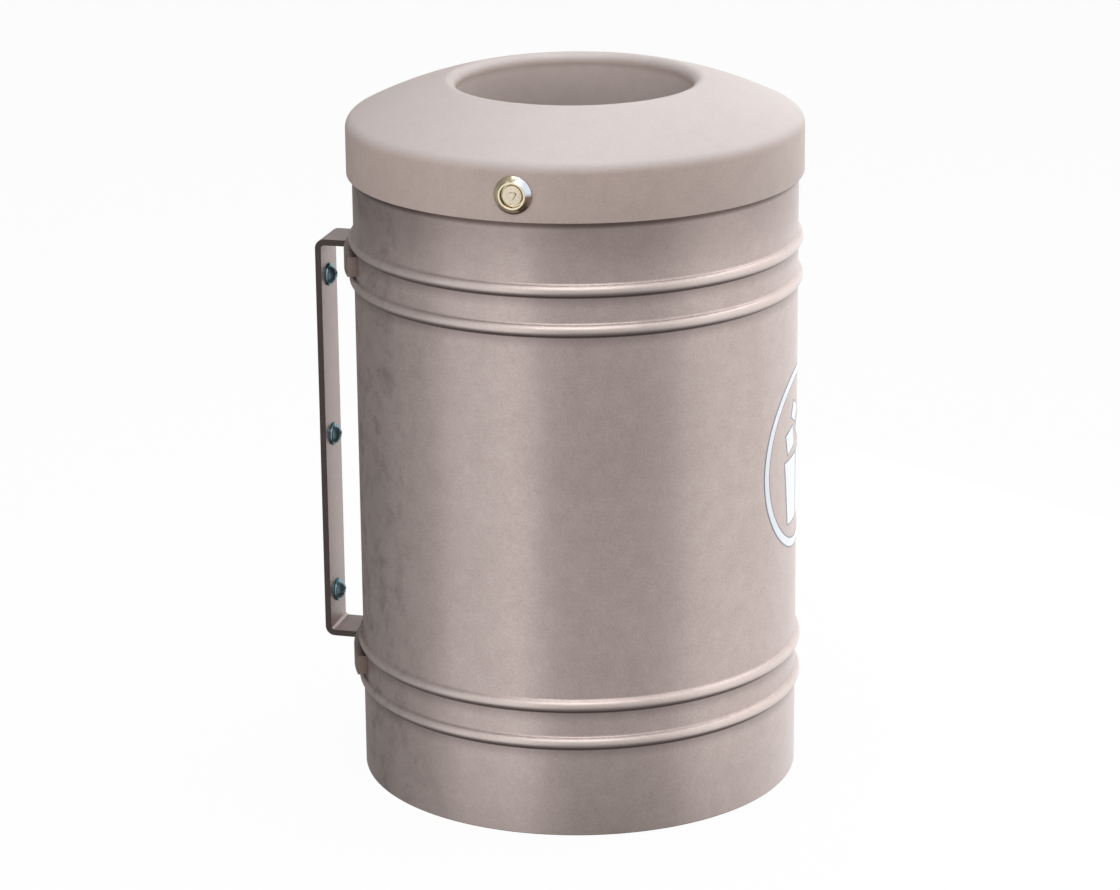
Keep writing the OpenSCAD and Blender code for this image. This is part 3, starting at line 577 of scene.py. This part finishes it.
edge = SHELL_T / 2
section = np.concatenate([
    arc(SHELL_R - edge, edge, edge, -90, 0, 3),
    beaded_face(0),
    [[SHELL_R, PLAIN_Z], [SHELL_R, RIM_Z - RIM_BAND]],
    arc(SHELL_R - edge, RIM_Z - edge, edge, 0, 180, 6),
    [[SHELL_R - SHELL_T, RIM_Z - RIM_BAND], [SHELL_R - SHELL_T, PLAIN_Z]],
    beaded_face(SHELL_T)[::-1],
    arc(SHELL_R - edge, edge, edge, 180, 270, 3),
])
print("shell section:", len(section), "points")

# %% Shell surface
NOTCH_STEPS, SHELL_SIDES = 25, 240


def notched(section):
    """(r cos a, r sin a, z) with z above PLAIN_Z scaled to a top edge of LOCK_Z - n cos u inside
    the notch, where SHELL_R sin a = n sin u, and of RIM_Z outside it."""
    u = np.radians(np.linspace(-90, 90, NOTCH_STEPS))
    inside = np.pi - np.arcsin(NOTCH_R * np.sin(u) / SHELL_R)
    outside = np.linspace(inside[-1], inside[0] - 2 * np.pi, SHELL_SIDES)
    a = np.concatenate([inside, outside])[:, None]
    top = np.concatenate([LOCK_Z - NOTCH_R * np.cos(u), np.full(SHELL_SIDES, RIM_Z)])[:, None]
    r, z = section[None, :, 0], section[None, :, 1]
    stretch = (top - PLAIN_Z) / (RIM_Z - PLAIN_Z)
    z = np.where(z > PLAIN_Z, PLAIN_Z + (z - PLAIN_Z) * stretch, z + 0 * a)
    return np.stack([r * np.cos(a), r * np.sin(a), z], -1)


place("shell_wall", [(notched(section), True, True)], "shell", wall_paint,
      ["body_shell"])

# %% [markdown]
# ## The lid
# The lid is a band under a spun dome. In section it is a chain of tangent arcs: the shoulder, a
# long low crown and the rounded lip of the mouth, which runs on down as a collar with a folded
# hem. A Solidify modifier could thicken one sheet, but would leave the hem to be added. Here one
# closed section, turned once, gives the outer face, the hem and the inner face together.

# %% Lid section
LID_R, LID_T, SKIRT_Z, SHOULDER_Z = 184.5, 1.5, 505.0, 542.0
SHOULDER_R, CROWN_R, LIP_R, LIP_AT, TOP_Z = 11.0, 320.0, 8.5, 103.5, 579.0
shoulder = np.array([LID_R - SHOULDER_R, SHOULDER_Z])
lip = np.array([LIP_AT, TOP_Z - LIP_R])
chord = np.linalg.norm(lip - shoulder)
along = (lip - shoulder) / chord

# The crown is tangent to both small arcs from outside, so its centre lies CROWN_R less their
# radius away from each of their centres. The rest is the meeting point of those two circles.
to_shoulder, to_lip = CROWN_R - SHOULDER_R, CROWN_R - LIP_R
foot = (to_shoulder**2 - to_lip**2 + chord**2) / (2 * chord)
across = np.sqrt(to_shoulder**2 - foot**2) * np.array([-along[1], along[0]])
crown = shoulder + foot * along + across
turn_low = np.degrees(np.arctan2(*(shoulder - crown)[::-1]))
turn_high = np.degrees(np.arctan2(*(lip - crown)[::-1]))
print("crown about", np.round(crown, 1), "from", round(turn_low, 1), "to", round(turn_high, 1))

# %% Lid surface
COLLAR_Z, HEM_H, CREASE_R, CREASE_UP, LID_SIDES = 524.0, 7.0, 0.6, 0.35, 300


def dome_face(depth):
    """Shoulder, crown and lip as arcs about their own centres, each radius less by the depth."""
    return np.concatenate([arc(*shoulder, SHOULDER_R - depth, 0, turn_low, 14),
                           arc(*crown, CROWN_R - depth, turn_low, turn_high, 26)[1:],
                           arc(*lip, LIP_R - depth, turn_high, 180, 20)[1:]])


edge = LID_T / 2
mouth = LIP_AT - LIP_R
lid_section = np.concatenate([
    arc(LID_R - edge, SKIRT_Z + edge, edge, -90, 0, 3),
    dome_face(0),
    arc(mouth + LID_T, COLLAR_Z + LID_T, LID_T, 180, 360, 8),
    arc(mouth + 2 * LID_T - edge, COLLAR_Z + HEM_H, edge, 0, 90, 3),
    arc(mouth + LID_T + CREASE_R, COLLAR_Z + HEM_H + CREASE_UP, CREASE_R, 200, 180, 1),
    dome_face(LID_T)[::-1],
    arc(LID_R - edge, SKIRT_Z + edge, edge, 180, 270, 3),
])
place("lid_sheet", [(turned(lid_section, LID_SIDES), True, True)], "lid", lid_paint,
      ["lid_dome", "lid_skirt", "mouth_collar"])

# %% [markdown]
# ## The lock
# A quarter-turn lock sits in the skirt: a cone-shaped bezel round a deep well, and in it a plug
# with a raised triangle for a key. Cylinders and cones could be joined for it, but their edges
# would be sharp. Its parts share one axis, so they are turned about that axis in a frame of their
# own, with w pointing out of the skirt, and then laid into place.

# %% Lock frame and threads
TINY = 1e-6


def at_lock(grid):
    """Local (up, side, w) goes to (-LID_R - w, side, LOCK_Z + up)."""
    return np.stack([-LID_R - grid[..., 2], grid[..., 1], LOCK_Z + grid[..., 0]], -1)


def threaded(radius, low, high, pitch, depth, sides, flat=None):
    """Radius r(a, w) = R - depth |2 frac(w / pitch - a / 2 pi) - 1|, with 8 rows to a pitch. Two
    flats at distance f cut it to f / |cos a|."""
    a = np.linspace(0, 2 * np.pi, sides, endpoint=False)[:, None]
    w = np.linspace(high, low, int((high - low) / pitch * 8))[None, :]
    r = radius - depth * np.abs(2 * np.mod(w / pitch - a / (2 * np.pi), 1) - 1)
    if flat:
        r = np.minimum(r, flat / np.maximum(np.abs(np.cos(a)), TINY))
    return np.stack([r * np.cos(a), r * np.sin(a), w + 0 * a], -1)


def capped(grid, low_r=0.0, high_r=0.0):
    """Adds a ring of radius low_r at the last column's height and one of high_r at the first
    column's, each point at the angle of its row."""
    a = np.arctan2(grid[:, 0, 1], grid[:, 0, 0])
    high, low = (np.stack([r * np.cos(a), r * np.sin(a), grid[:, column, 2]], -1)[:, None]
                 for r, column in ((high_r, 0), (low_r, -1)))
    return np.concatenate([high, grid, low], 1)


# %% Bezel and barrel
BEZEL_R, LIP_OUT, WELL_R, BEZEL_H = 15.0, 10.9, 9.2, 4.5
BORE_R, WELL_FLOOR, SEAT = 5.0, 0.5, -0.7
BARREL_R, FLAT_OFF, BARREL_END, BARREL_PITCH, BARREL_DEPTH = 11.0, 10.0, -14.0, 1.0, 0.45
LOCK_SIDES = 96
LIP_EDGE, WELL_EDGE, BEZEL_EDGE = 0.3, 0.35, 0.4
bezel_section = np.concatenate([
    [[BORE_R, WELL_FLOOR]],
    arc(WELL_R - LIP_EDGE, WELL_FLOOR + LIP_EDGE, LIP_EDGE, 270, 360, 3),
    arc(WELL_R + WELL_EDGE, BEZEL_H - WELL_EDGE, WELL_EDGE, 180, 90, 6),
    arc(LIP_OUT - LIP_EDGE, BEZEL_H - LIP_EDGE, LIP_EDGE, 90, 50, 4),
    arc(BEZEL_R - BEZEL_EDGE, 2 * BEZEL_EDGE, BEZEL_EDGE, 42, 0, 5),
    [[BEZEL_R, SEAT], [FLAT_OFF, SEAT]],
])
barrel = threaded(BARREL_R, BARREL_END, SEAT, BARREL_PITCH, BARREL_DEPTH, LOCK_SIDES, FLAT_OFF)
bore = np.array([[BORE_R, BARREL_END], [BORE_R, WELL_FLOOR]])
place("lock_bezel", [(at_lock(turned(bezel_section, LOCK_SIDES)), False, True),
                     (at_lock(capped(barrel, BORE_R, FLAT_OFF)), False, True),
                     (at_lock(turned(bore, LOCK_SIDES)), False, True)],
      "lid", nickel, ["lock_housing"])

# %% Plug's face and studs
PLUG_R, PLUG_LOW, PLUG_TOP, PLUG_EDGE, PLUG_SIDES = 7.9, 0.55, 2.55, 0.4, 144
NICK_DEEP, NICK_HALF, NICK_FROM = 1.3, 0.17, 6.5


def plug_face():
    """Disc r(a) = R less a nick at a = 180 degrees, with a rounded upper edge. The nick's depth is
    NICK_DEEP / (1 + t^8), with t the angle from its middle over its half width."""
    a = np.linspace(0, 2 * np.pi, PLUG_SIDES, endpoint=False)[:, None]
    nick = NICK_DEEP / (1 + ((a - np.pi) / NICK_HALF) ** 8)
    profile = np.concatenate([
        [[0, PLUG_LOW], [PLUG_R - PLUG_EDGE / 2, PLUG_LOW]],
        arc(PLUG_R - PLUG_EDGE, PLUG_TOP - PLUG_EDGE, PLUG_EDGE, 0, 90, 5),
        [[0, PLUG_TOP]],
    ])
    r, w = profile[None, :, 0], profile[None, :, 1]
    r = np.where(r > NICK_FROM, r - nick, r + 0 * a)
    return np.stack([r * np.cos(a), r * np.sin(a), w + 0 * a], -1)


def stud(corners, radius, low, high, round_off):
    """Outline p scaled about its middle: s p at height w. Over the top edge s is 1 - q (1 - cos a)
    and w is high - e (1 - sin a), with e the edge's radius and q that over the outline's mean."""
    outline = rounded(corners, radius, 8)
    share = round_off / np.linalg.norm(outline, axis=1).mean()
    quarter = arc(0, 0, 1, 0, 90, 5)
    s = np.concatenate([[0, 1], 1 - share + share * quarter[:, 0], [0]])
    w = np.concatenate([[low, low], high - round_off + round_off * quarter[:, 1], [high]])
    x, y = outline[:, None, 0], outline[:, None, 1]
    return np.stack([x * s, y * s, w + 0 * x], -1)


# %% Plug with its triangular stud
STUD_R, STUD_ROUND, STUD_TOP, STUD_EDGE = 5.0, 1.5, 4.35, 0.3
SHAFT_R, SHAFT_END = 4.95, -14.05
SQUARE_HALF, SQUARE_ROUND, SQUARE_END, SQUARE_EDGE = 3.2, 0.3, -16.65, 0.1
angles = np.radians([60, 180, 300])
triangle = STUD_R * np.stack([np.cos(angles), np.sin(angles)], -1)
square = SQUARE_HALF * np.array([(1, 1), (-1, 1), (-1, -1), (1, -1)])
plug = [plug_face(),
        stud(triangle, STUD_ROUND, PLUG_TOP - STUD_EDGE, STUD_TOP, STUD_EDGE),
        rod(SHAFT_R, SHAFT_END, PLUG_LOW, 48),
        stud(square, SQUARE_ROUND, SQUARE_END, BARREL_END, SQUARE_EDGE)]
place("plug_and_stud", [(at_lock(grid), False, True) for grid in plug],
      "lock", worn_nickel, ["lock_plug"])

# %% [markdown]
# ## Wall screws
# Three screws hold the bar: a thick flange, a dome on it and a hexagon socket in the dome. A
# Boolean could sink the socket, but its rings can as well be rows of the same grid, which follow a
# hexagon instead of a circle. The thread behind the bar is a helix in the radius.

# %% Screw heads
FLANGE_R, FLANGE_T, FLANGE_EDGE, UNDER_EDGE = 9.5, 2.0, 0.7, 0.3
DOME_R, DOME_TOP, SOCKET_R, SOCKET_AF, SOCKET_W, SOCKET_CONE = 8.1, 7.0, 3.4, 5.0, 4.0, 0.8
CHAMFER_OUT, CHAMFER_TOP, CHAMFER_LOW = 0.1, 0.15, 0.4
rise = DOME_TOP - FLANGE_T
ball_r = (DOME_R**2 + rise**2) / (2 * rise)
print("dome's radius:", round(ball_r, 2), "mm")


def screw_head():
    """Turned section of flange and dome, w = DOME_TOP - R + sqrt(R^2 - r^2) on the dome, then rings
    of a hexagon with radius AF / 2 / cos of the angle to its nearest flat, down to a cone."""
    a = np.linspace(0, 2 * np.pi, 144, endpoint=False)[:, None]
    dome = np.linspace(DOME_R, SOCKET_R, 14)
    round_part = np.concatenate([
        [[0, 0], [FLANGE_R - UNDER_EDGE, 0], [FLANGE_R, UNDER_EDGE]],
        arc(FLANGE_R - FLANGE_EDGE, FLANGE_T - FLANGE_EDGE, FLANGE_EDGE, 0, 90, 6),
        np.stack([dome, DOME_TOP - ball_r + np.sqrt(ball_r**2 - dome**2)], -1),
    ])
    rim = round_part[-1, 1]
    flats = SOCKET_AF / 2 / np.cos(np.mod(a, np.pi / 3) - np.pi / 6)
    socket_r = np.concatenate([flats + CHAMFER_OUT, flats, flats, 0 * a], 1)
    socket_w = np.array([rim - CHAMFER_TOP, rim - CHAMFER_LOW, SOCKET_W, SOCKET_W - SOCKET_CONE])
    r = np.concatenate([round_part[:, 0] + 0 * a, socket_r], 1)
    w = np.concatenate([round_part[:, 1], socket_w]) + 0 * a
    return np.stack([r * np.cos(a), r * np.sin(a), w], -1)


# %% Three screws
BAR_Y, BAR_T, SCREWS_Z = 211.5, 5.0, [128.0, 266.0, 404.0]
SHANK_R, SHANK_TOP, BEHIND = 3.6, 0.2, -BAR_T - 0.15
THREAD_R, THREAD_END, THREAD_PITCH, THREAD_DEPTH = 4.0, -BAR_T - 4.1, 1.25, 0.6


def at_screw(grid, z):
    """Local (side, up, w) goes to (side, BAR_Y - w, z + up)."""
    return np.stack([grid[..., 0], BAR_Y - grid[..., 2], z + grid[..., 1]], -1)


thread = threaded(THREAD_R, THREAD_END, BEHIND, THREAD_PITCH, THREAD_DEPTH, 48)
parts = [screw_head(), rod(SHANK_R, BEHIND, SHANK_TOP, 40), capped(thread)]
screws = [(at_screw(part, z), False, True) for z in SCREWS_Z for part in parts]
place("flanged_screws", screws, "shell", blue_zinc, ["wall_screws"])

# %% [markdown]
# ## The liner
# The galvanised bucket lifts out by two wire handles. Its wall has a wired rim and two shallow
# beads, and its floor is seamed in a little above the foot. The exact mesh would do, but its facets
# would show where the light runs round the inside, so this is a turned surface again.

# %% Liner surfaces
LINER_R, LINER_T, LINER_Z, RIM_TOP, WIRE_R = 153.0, 1.0, 1.5, 491.5, 3.5
liner_beads = {"radius": LINER_R, "beads": [LINER_Z + up for up in (70, 400)],
               "width": 9.0, "height": 2.0, "foot": 2.0}
liner_section = np.concatenate([
    [[LINER_R - LINER_T, LINER_Z], [LINER_R, LINER_Z]],
    beaded_face(0, **liner_beads),
    arc(LINER_R - LINER_T + WIRE_R, RIM_TOP - WIRE_R, WIRE_R, -120, 180, 24),
    beaded_face(LINER_T, **liner_beads)[::-1],
])
place("bucket_wall", [(turned(liner_section), True, True)], "liner", liner_sheet,
      ["liner_wall"])

# %% [markdown]
# ## Rounded edges on the exact parts
# The bent bar, the saddles, the hinge and the small fittings have their true shape in the packed
# model, but with edges as sharp as the drawing. Paint and plating soften them. They could be built
# anew like the shell, but only their edges differ. So a copy of each mesh is merged, its flat faces
# are joined again, and a Bevel modifier rounds what is left. The copy stands for the exact part at
# the same place.

# %% Copies with a bevel
FLAT_DEG, CREASE_DEG, BEVEL_DEG = 0.5, 30, 40


def softened(node, width, finish, body):
    """Merged copy of a node's mesh whose edges over BEVEL_DEG get a bevel of a width in mm."""
    mesh = nodes[node].data.copy()
    edit = bmesh.new()
    edit.from_mesh(mesh)
    bmesh.ops.remove_doubles(edit, verts=edit.verts, dist=WELD_M)
    bmesh.ops.dissolve_limit(edit, angle_limit=np.radians(FLAT_DEG),
                             verts=edit.verts, edges=edit.edges)
    for face in edit.faces:
        face.smooth = True
    edit.to_mesh(mesh)
    edit.free()
    mesh.set_sharp_from_angle(angle=np.radians(CREASE_DEG))
    mesh.materials.clear()
    mesh.materials.append(finish)
    piece = add("soft_" + node, mesh)
    bevel = piece.modifiers.new("edges", "BEVEL")
    bevel.width, bevel.segments, bevel.limit_method = width * MM, 2, "ANGLE"
    bevel.angle_limit, bevel.harden_normals = np.radians(BEVEL_DEG), True
    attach(piece, body)
    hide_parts(node)
    return len(mesh.polygons)


# %% Widths of the rounded edges in mm
bodies = frame["record"]["behaviour"]["bodies"]
body_of = {node: body for body, members in bodies.items() for node in members}
soft_parts = [
    (bar_paint, "painted_steel", {"wall_bracket": 0.7}),
    (shaded_saddle_paint, "painted_steel", {"upper_saddle": 1.3, "lower_saddle": 1.3}),
    (fittings_paint, "painted_steel", {
        "hinge_fixed_leaf": 0.3, "hinge_lid_leaf": 0.3, "base_plate": 0.4}),
    (bright_zinc, "bright_zinc", {
        "saddle_washers": 0.2, "saddle_screws": 0.3, "lock_keeper": 0.3, "lock_nut": 0.4,
        "lock_cam": 0.3, "cam_washer": 0.15, "cam_screw": 0.2}),
    (liner_parts, "galvanised_sheet", {
        "liner_floor": 0.2, "front_handle_clip": 0.3, "rear_handle_clip": 0.3}),
]
for finish, slot, widths in soft_parts:
    for node, width in widths.items():
        print(node, softened(node, width, finish, body_of[node]), "faces before the bevel")

# %% Parts that are round already
round_parts = [(bright_zinc, ["fixed_leaf_rivets", "hinge_pin", "lid_leaf_rivets", "clip_rivets"]),
               (liner_parts, ["front_handle", "rear_handle"])]
for finish, names in round_parts:
    for name in names:
        nodes[name].data.materials.clear()
        nodes[name].data.materials.append(finish)
    print(finish.name, "goes on", names)

# %% [markdown]
# ## The mark on the front
# The real bin wears a white transfer: a ring with a sign for litter in it. Here it is a plain
# ring round a simple bin with scraps that fall into it. It could be an image, which would blur
# from near by. So each patch is a thin closed slab bent to the wall: its flat coordinates are
# (s, z), and s is a length of arc. A grey film that is a little larger lies under the white one.
# It stands for the thin dark line that frames the real transfer.


# %% Vinyl film
def vinyl_film(name, dark, light):
    """Smooth film between two very near tones, with a faint bump."""
    sheet = Finish(name, Roughness=0.38)
    tone = sheet.blend(sheet.noise(30), dark, light)
    return sheet.wear(Base_Color=tone, Normal=sheet.bump(sheet.noise(260), 0.06, 0.0002))


vinyl = vinyl_film("white_vinyl", srgb(232, 235, 242), srgb(242, 244, 249))
line_vinyl = vinyl_film("grey_vinyl", srgb(112, 108, 118), srgb(128, 124, 134))

# %% Transfer
MARK_AZ, MARK_Z, FILM_T = 274.8, 271.5, 0.1


def bent(flat, low):
    """Flat (s, z) goes to (r cos a, r sin a, z) with a = centre + s / R, once on each face of the
    film."""
    a = np.radians(MARK_AZ) + flat[..., 0] / SHELL_R
    z = MARK_Z + flat[..., 1]
    return [np.stack([r * np.cos(a), r * np.sin(a), z], -1) for r in (low, low + FILM_T)]


def film(flat, low, around=False):
    """Closed slab over a grid of flat points: two faces and a strip along each free edge."""
    under, over = bent(flat, low)
    grids = [(under, False, around), (over, False, around)]
    rims = [(under[:, 0], over[:, 0]), (under[:, -1], over[:, -1])]
    if not around:
        rims += [(under[0], over[0]), (under[-1], over[-1])]
    return grids + [(np.stack(rim, 1), False, around) for rim in rims]


# %% Flat patches
def slab(corners, steps=8):
    """Bilinear patch between four corners: (1 - u)(1 - v) A + u (1 - v) B + u v C + (1 - u) v D."""
    a, b, c, d = np.asarray(corners, float)
    u, v = np.meshgrid(np.linspace(0, 1, steps), np.linspace(0, 1, steps), indexing="ij")
    u, v = u[..., None], v[..., None]
    return (1 - u) * (1 - v) * a + u * (1 - v) * b + u * v * c + (1 - u) * v * d


def grown(corners, by):
    """Moves each corner of a quad out along its bisector so that every side moves out by the same
    amount: by over the sine of half the corner's angle."""
    c, back, ahead, middle = bisected(corners)
    return c - middle * by / np.sqrt((1 - (back * ahead).sum(1, keepdims=True)) / 2)


def ring(inner, outer):
    """Flat ring (r cos a, r sin a) between two radii."""
    a = np.linspace(0, 2 * np.pi, 128, endpoint=False)[:, None]
    r = np.array([inner, outer])[None, :]
    return np.stack([r * np.cos(a), r * np.sin(a)], -1)


# %% Shapes of the mark
BIN_TOP, BIN_LOW, BIN_W, TAPER = 3.0, -51.0, 34.5, 0.78
HALVES, SCRAP_WIDER = (-36.5, 2.0), 1.2
SCRAPS = ((-22, 19, 12.0, 14), (-8, 40, 9.5, 60), (12, 22, 11.0, 35), (27, 17, 9.0, 8))
RING_IN, RING_OUT, KEY_LINE = 68.2, 74.6, 1.2
LINE_R, WHITE_R = SHELL_R + 0.02, SHELL_R + 0.06
patches = []
for x in HALVES:
    end = x + BIN_W
    patches.append([(x, BIN_TOP), (end, BIN_TOP), (end * TAPER, BIN_LOW), (x * TAPER, BIN_LOW)])
for x, z, size, tilt in SCRAPS:
    corner = np.radians(tilt + np.array([45, 135, 225, 315]))
    wide, high = size * np.cos(corner) * SCRAP_WIDER, size * np.sin(corner)
    patches.append(np.stack([x + wide, z + high], -1))
for name, finish, by, low in (("litter_mark_line", line_vinyl, KEY_LINE, LINE_R),
                              ("litter_mark", vinyl, 0.0, WHITE_R)):
    films = film(ring(RING_IN - by, RING_OUT + by), low, True)
    for patch in patches:
        films += film(slab(grown(patch, by)), low)
    place(name, films, "shell", finish)

# %% [markdown]
# ## Floor, lamps and room
# The photograph is cut out on white, so floor and room are white to the camera, while the bin is
# lit by a plain studio. The floor could be a white table, but it would shine up under every bead.
# So reflections miss it, and it throws no shadow, since the tall lamps reach below its level. Two
# strips to the left draw the pale band down the tube, two tall soft lamps to the right and at the
# rear light the right edge, and four lamps overhead fill the dome. A grey card at the rear left
# keeps the tube's left edge dim. The rest of each reflection is the room's own glow, which rises
# to the ceiling and falls to the ground and to the upper left.

# %% Floor
CAMERA_SIDE, SPREAD, SINK = 195, 9.0, -0.0002
SEEN_WHITE, MIRRORED_WHITE = 0.96, 0.9


def polar(side, away):
    """Place (x, y) = away (cos a, sin a), with a measured from the camera's side of the bin."""
    a = np.radians(CAMERA_SIDE + side)
    return away * np.cos(a), away * np.sin(a)


floor = add("floor", bpy.data.meshes.new("floor"))
corners = [(x * SPREAD, y * SPREAD, SINK) for x, y in ((-1, -1), (1, -1), (1, 1), (-1, 1))]
floor.data.from_pydata(corners, [], [(0, 1, 2, 3)])
pale = Finish("pale_floor", Base_Color=(0.8, 0.8, 0.8, 1), Roughness=0.9)
seen = pale.cut_out(Signal(pale, pale.shader.outputs[0]), SEEN_WHITE, MIRRORED_WHITE)
pale.set(pale.tree.nodes["Material Output"], {"Surface": seen})
floor.data.materials.append(pale.material)
floor.visible_glossy = floor.visible_shadow = False
print("floor:", 2 * SPREAD, "m wide")

# %% Flag
FLAG_SIDE, FLAG_HALF, FLAG_AWAY, FLAG_Z, FLAG_GLOW = -140, 38, 0.75, (-0.6, 1.2), 0.27
card = add("flag", bpy.data.meshes.new("flag"))
ends = [polar(FLAG_SIDE + half, FLAG_AWAY) for half in (-FLAG_HALF, FLAG_HALF)]
card.data.from_pydata([(*end, z) for z in FLAG_Z for end in ends], [], [(0, 1, 3, 2)])
grey_card = Finish("grey_card", Base_Color=(0.02, 0.02, 0.02, 1),
                   Emission_Color=(1, 1, 1, 1), Emission_Strength=FLAG_GLOW)
card.data.materials.append(grey_card.material)
card.visible_camera = card.visible_diffuse = card.visible_shadow = False
print("flag's ends:", np.round(ends, 2).tolist())

# %% Room
AMBIENT, SIDE_GLOW, RIGHT_MORE, CEILING_MORE, GROUND_SHARE = 0.22, 0.44, 0.15, 0.4, 0.12
world = bpy.data.worlds.new("room")
bpy.context.scene.world = world
room = NodeSheet(world)
ambient = room.tree.nodes["Background"]
room.set(ambient, {"Color": (1, 1, 1, 1), "Strength": AMBIENT})

# upward and sideways run from -1 to 1: the sine of the elevation and the cosine from the right.
looking = room.node("ShaderNodeTexCoord", {}, {}, "Generated")
upward = room.split(looking)[2]
sideways = room.vector("DOT_PRODUCT", looking, (*polar(90, 1.0), 0.0))
ceiling = CEILING_MORE * room.band(upward, -0.5, 0.3) * room.band(sideways, -1.0, 0.1)
upper_left = room.band(upward, -0.15, 0.3) * (1 - room.band(sideways, -0.9, -0.1))
sides = SIDE_GLOW + RIGHT_MORE * room.band(sideways, -0.5, 0.2)
above_ground = GROUND_SHARE + (1 - GROUND_SHARE) * room.band(upward, -0.8, -0.45)
mirrored = (sides * (1 - 0.5 * upper_left) + ceiling) * above_ground
room_light = room.cut_out(Signal(room, ambient.outputs[0]), 1.0, mirrored)
room.set(room.tree.nodes["World Output"], {"Surface": room_light})
print("nodes in the room's sheet:", len(room.tree.nodes))

# %% Lamps
LAMP_COLOUR = (0.95, 0.98, 1.0)


def lamp(name, side, height, distance, width, tall, power, aim):
    """Area lamp at an angle from the camera's side, seen from above, that faces the bin's axis at
    the height aim. Its right is level: up crossed with its back."""
    data = bpy.data.lights.new(name, "AREA")
    data.shape, data.size, data.size_y = "RECTANGLE", width, tall
    data.energy, data.color = power, LAMP_COLOUR
    spot = np.array([*polar(side, distance), height])
    back = spot - [0, 0, aim]
    back /= np.linalg.norm(back)
    right = np.cross([0, 0, 1], back)
    right /= np.linalg.norm(right)
    holder = add(name, data)
    holder.visible_camera = False
    holder.matrix_world = standing(right, np.cross(back, right), back, spot)


# Name, side in degrees, height, distance, width and tallness in metres, power in watts, aim.
lamps = (("strip_near", -30, 0.4, 0.8, 0.3, 2.0, 1.95, 0.4),
         ("strip_far", -56, 0.4, 0.8, 0.3, 2.0, 1.4, 0.4),
         ("wall_right", 80, 0.4, 0.8, 0.9, 2.0, 3.7, 0.4),
         ("wall_rear", 135, 0.4, 0.8, 0.8, 2.0, 4.4, 0.4),
         ("over_front", 0, 2.4, 1.8, 1.6, 1.0, 17.0, 0.4),
         ("over_right", 110, 2.4, 1.8, 1.6, 1.0, 12.0, 0.4),
         ("over_rear", 180, 2.4, 1.8, 1.6, 1.0, 8.0, 0.4),
         ("top", 0, 2.8, 0.01, 1.6, 1.6, 31.0, 0.3))
for row in lamps:
    lamp(*row)
print("lamps:", len(lamps), "with", round(sum(row[6] for row in lamps), 2), "W")

# %% Finish
bpy.context.scene.view_settings.view_transform = "Standard"
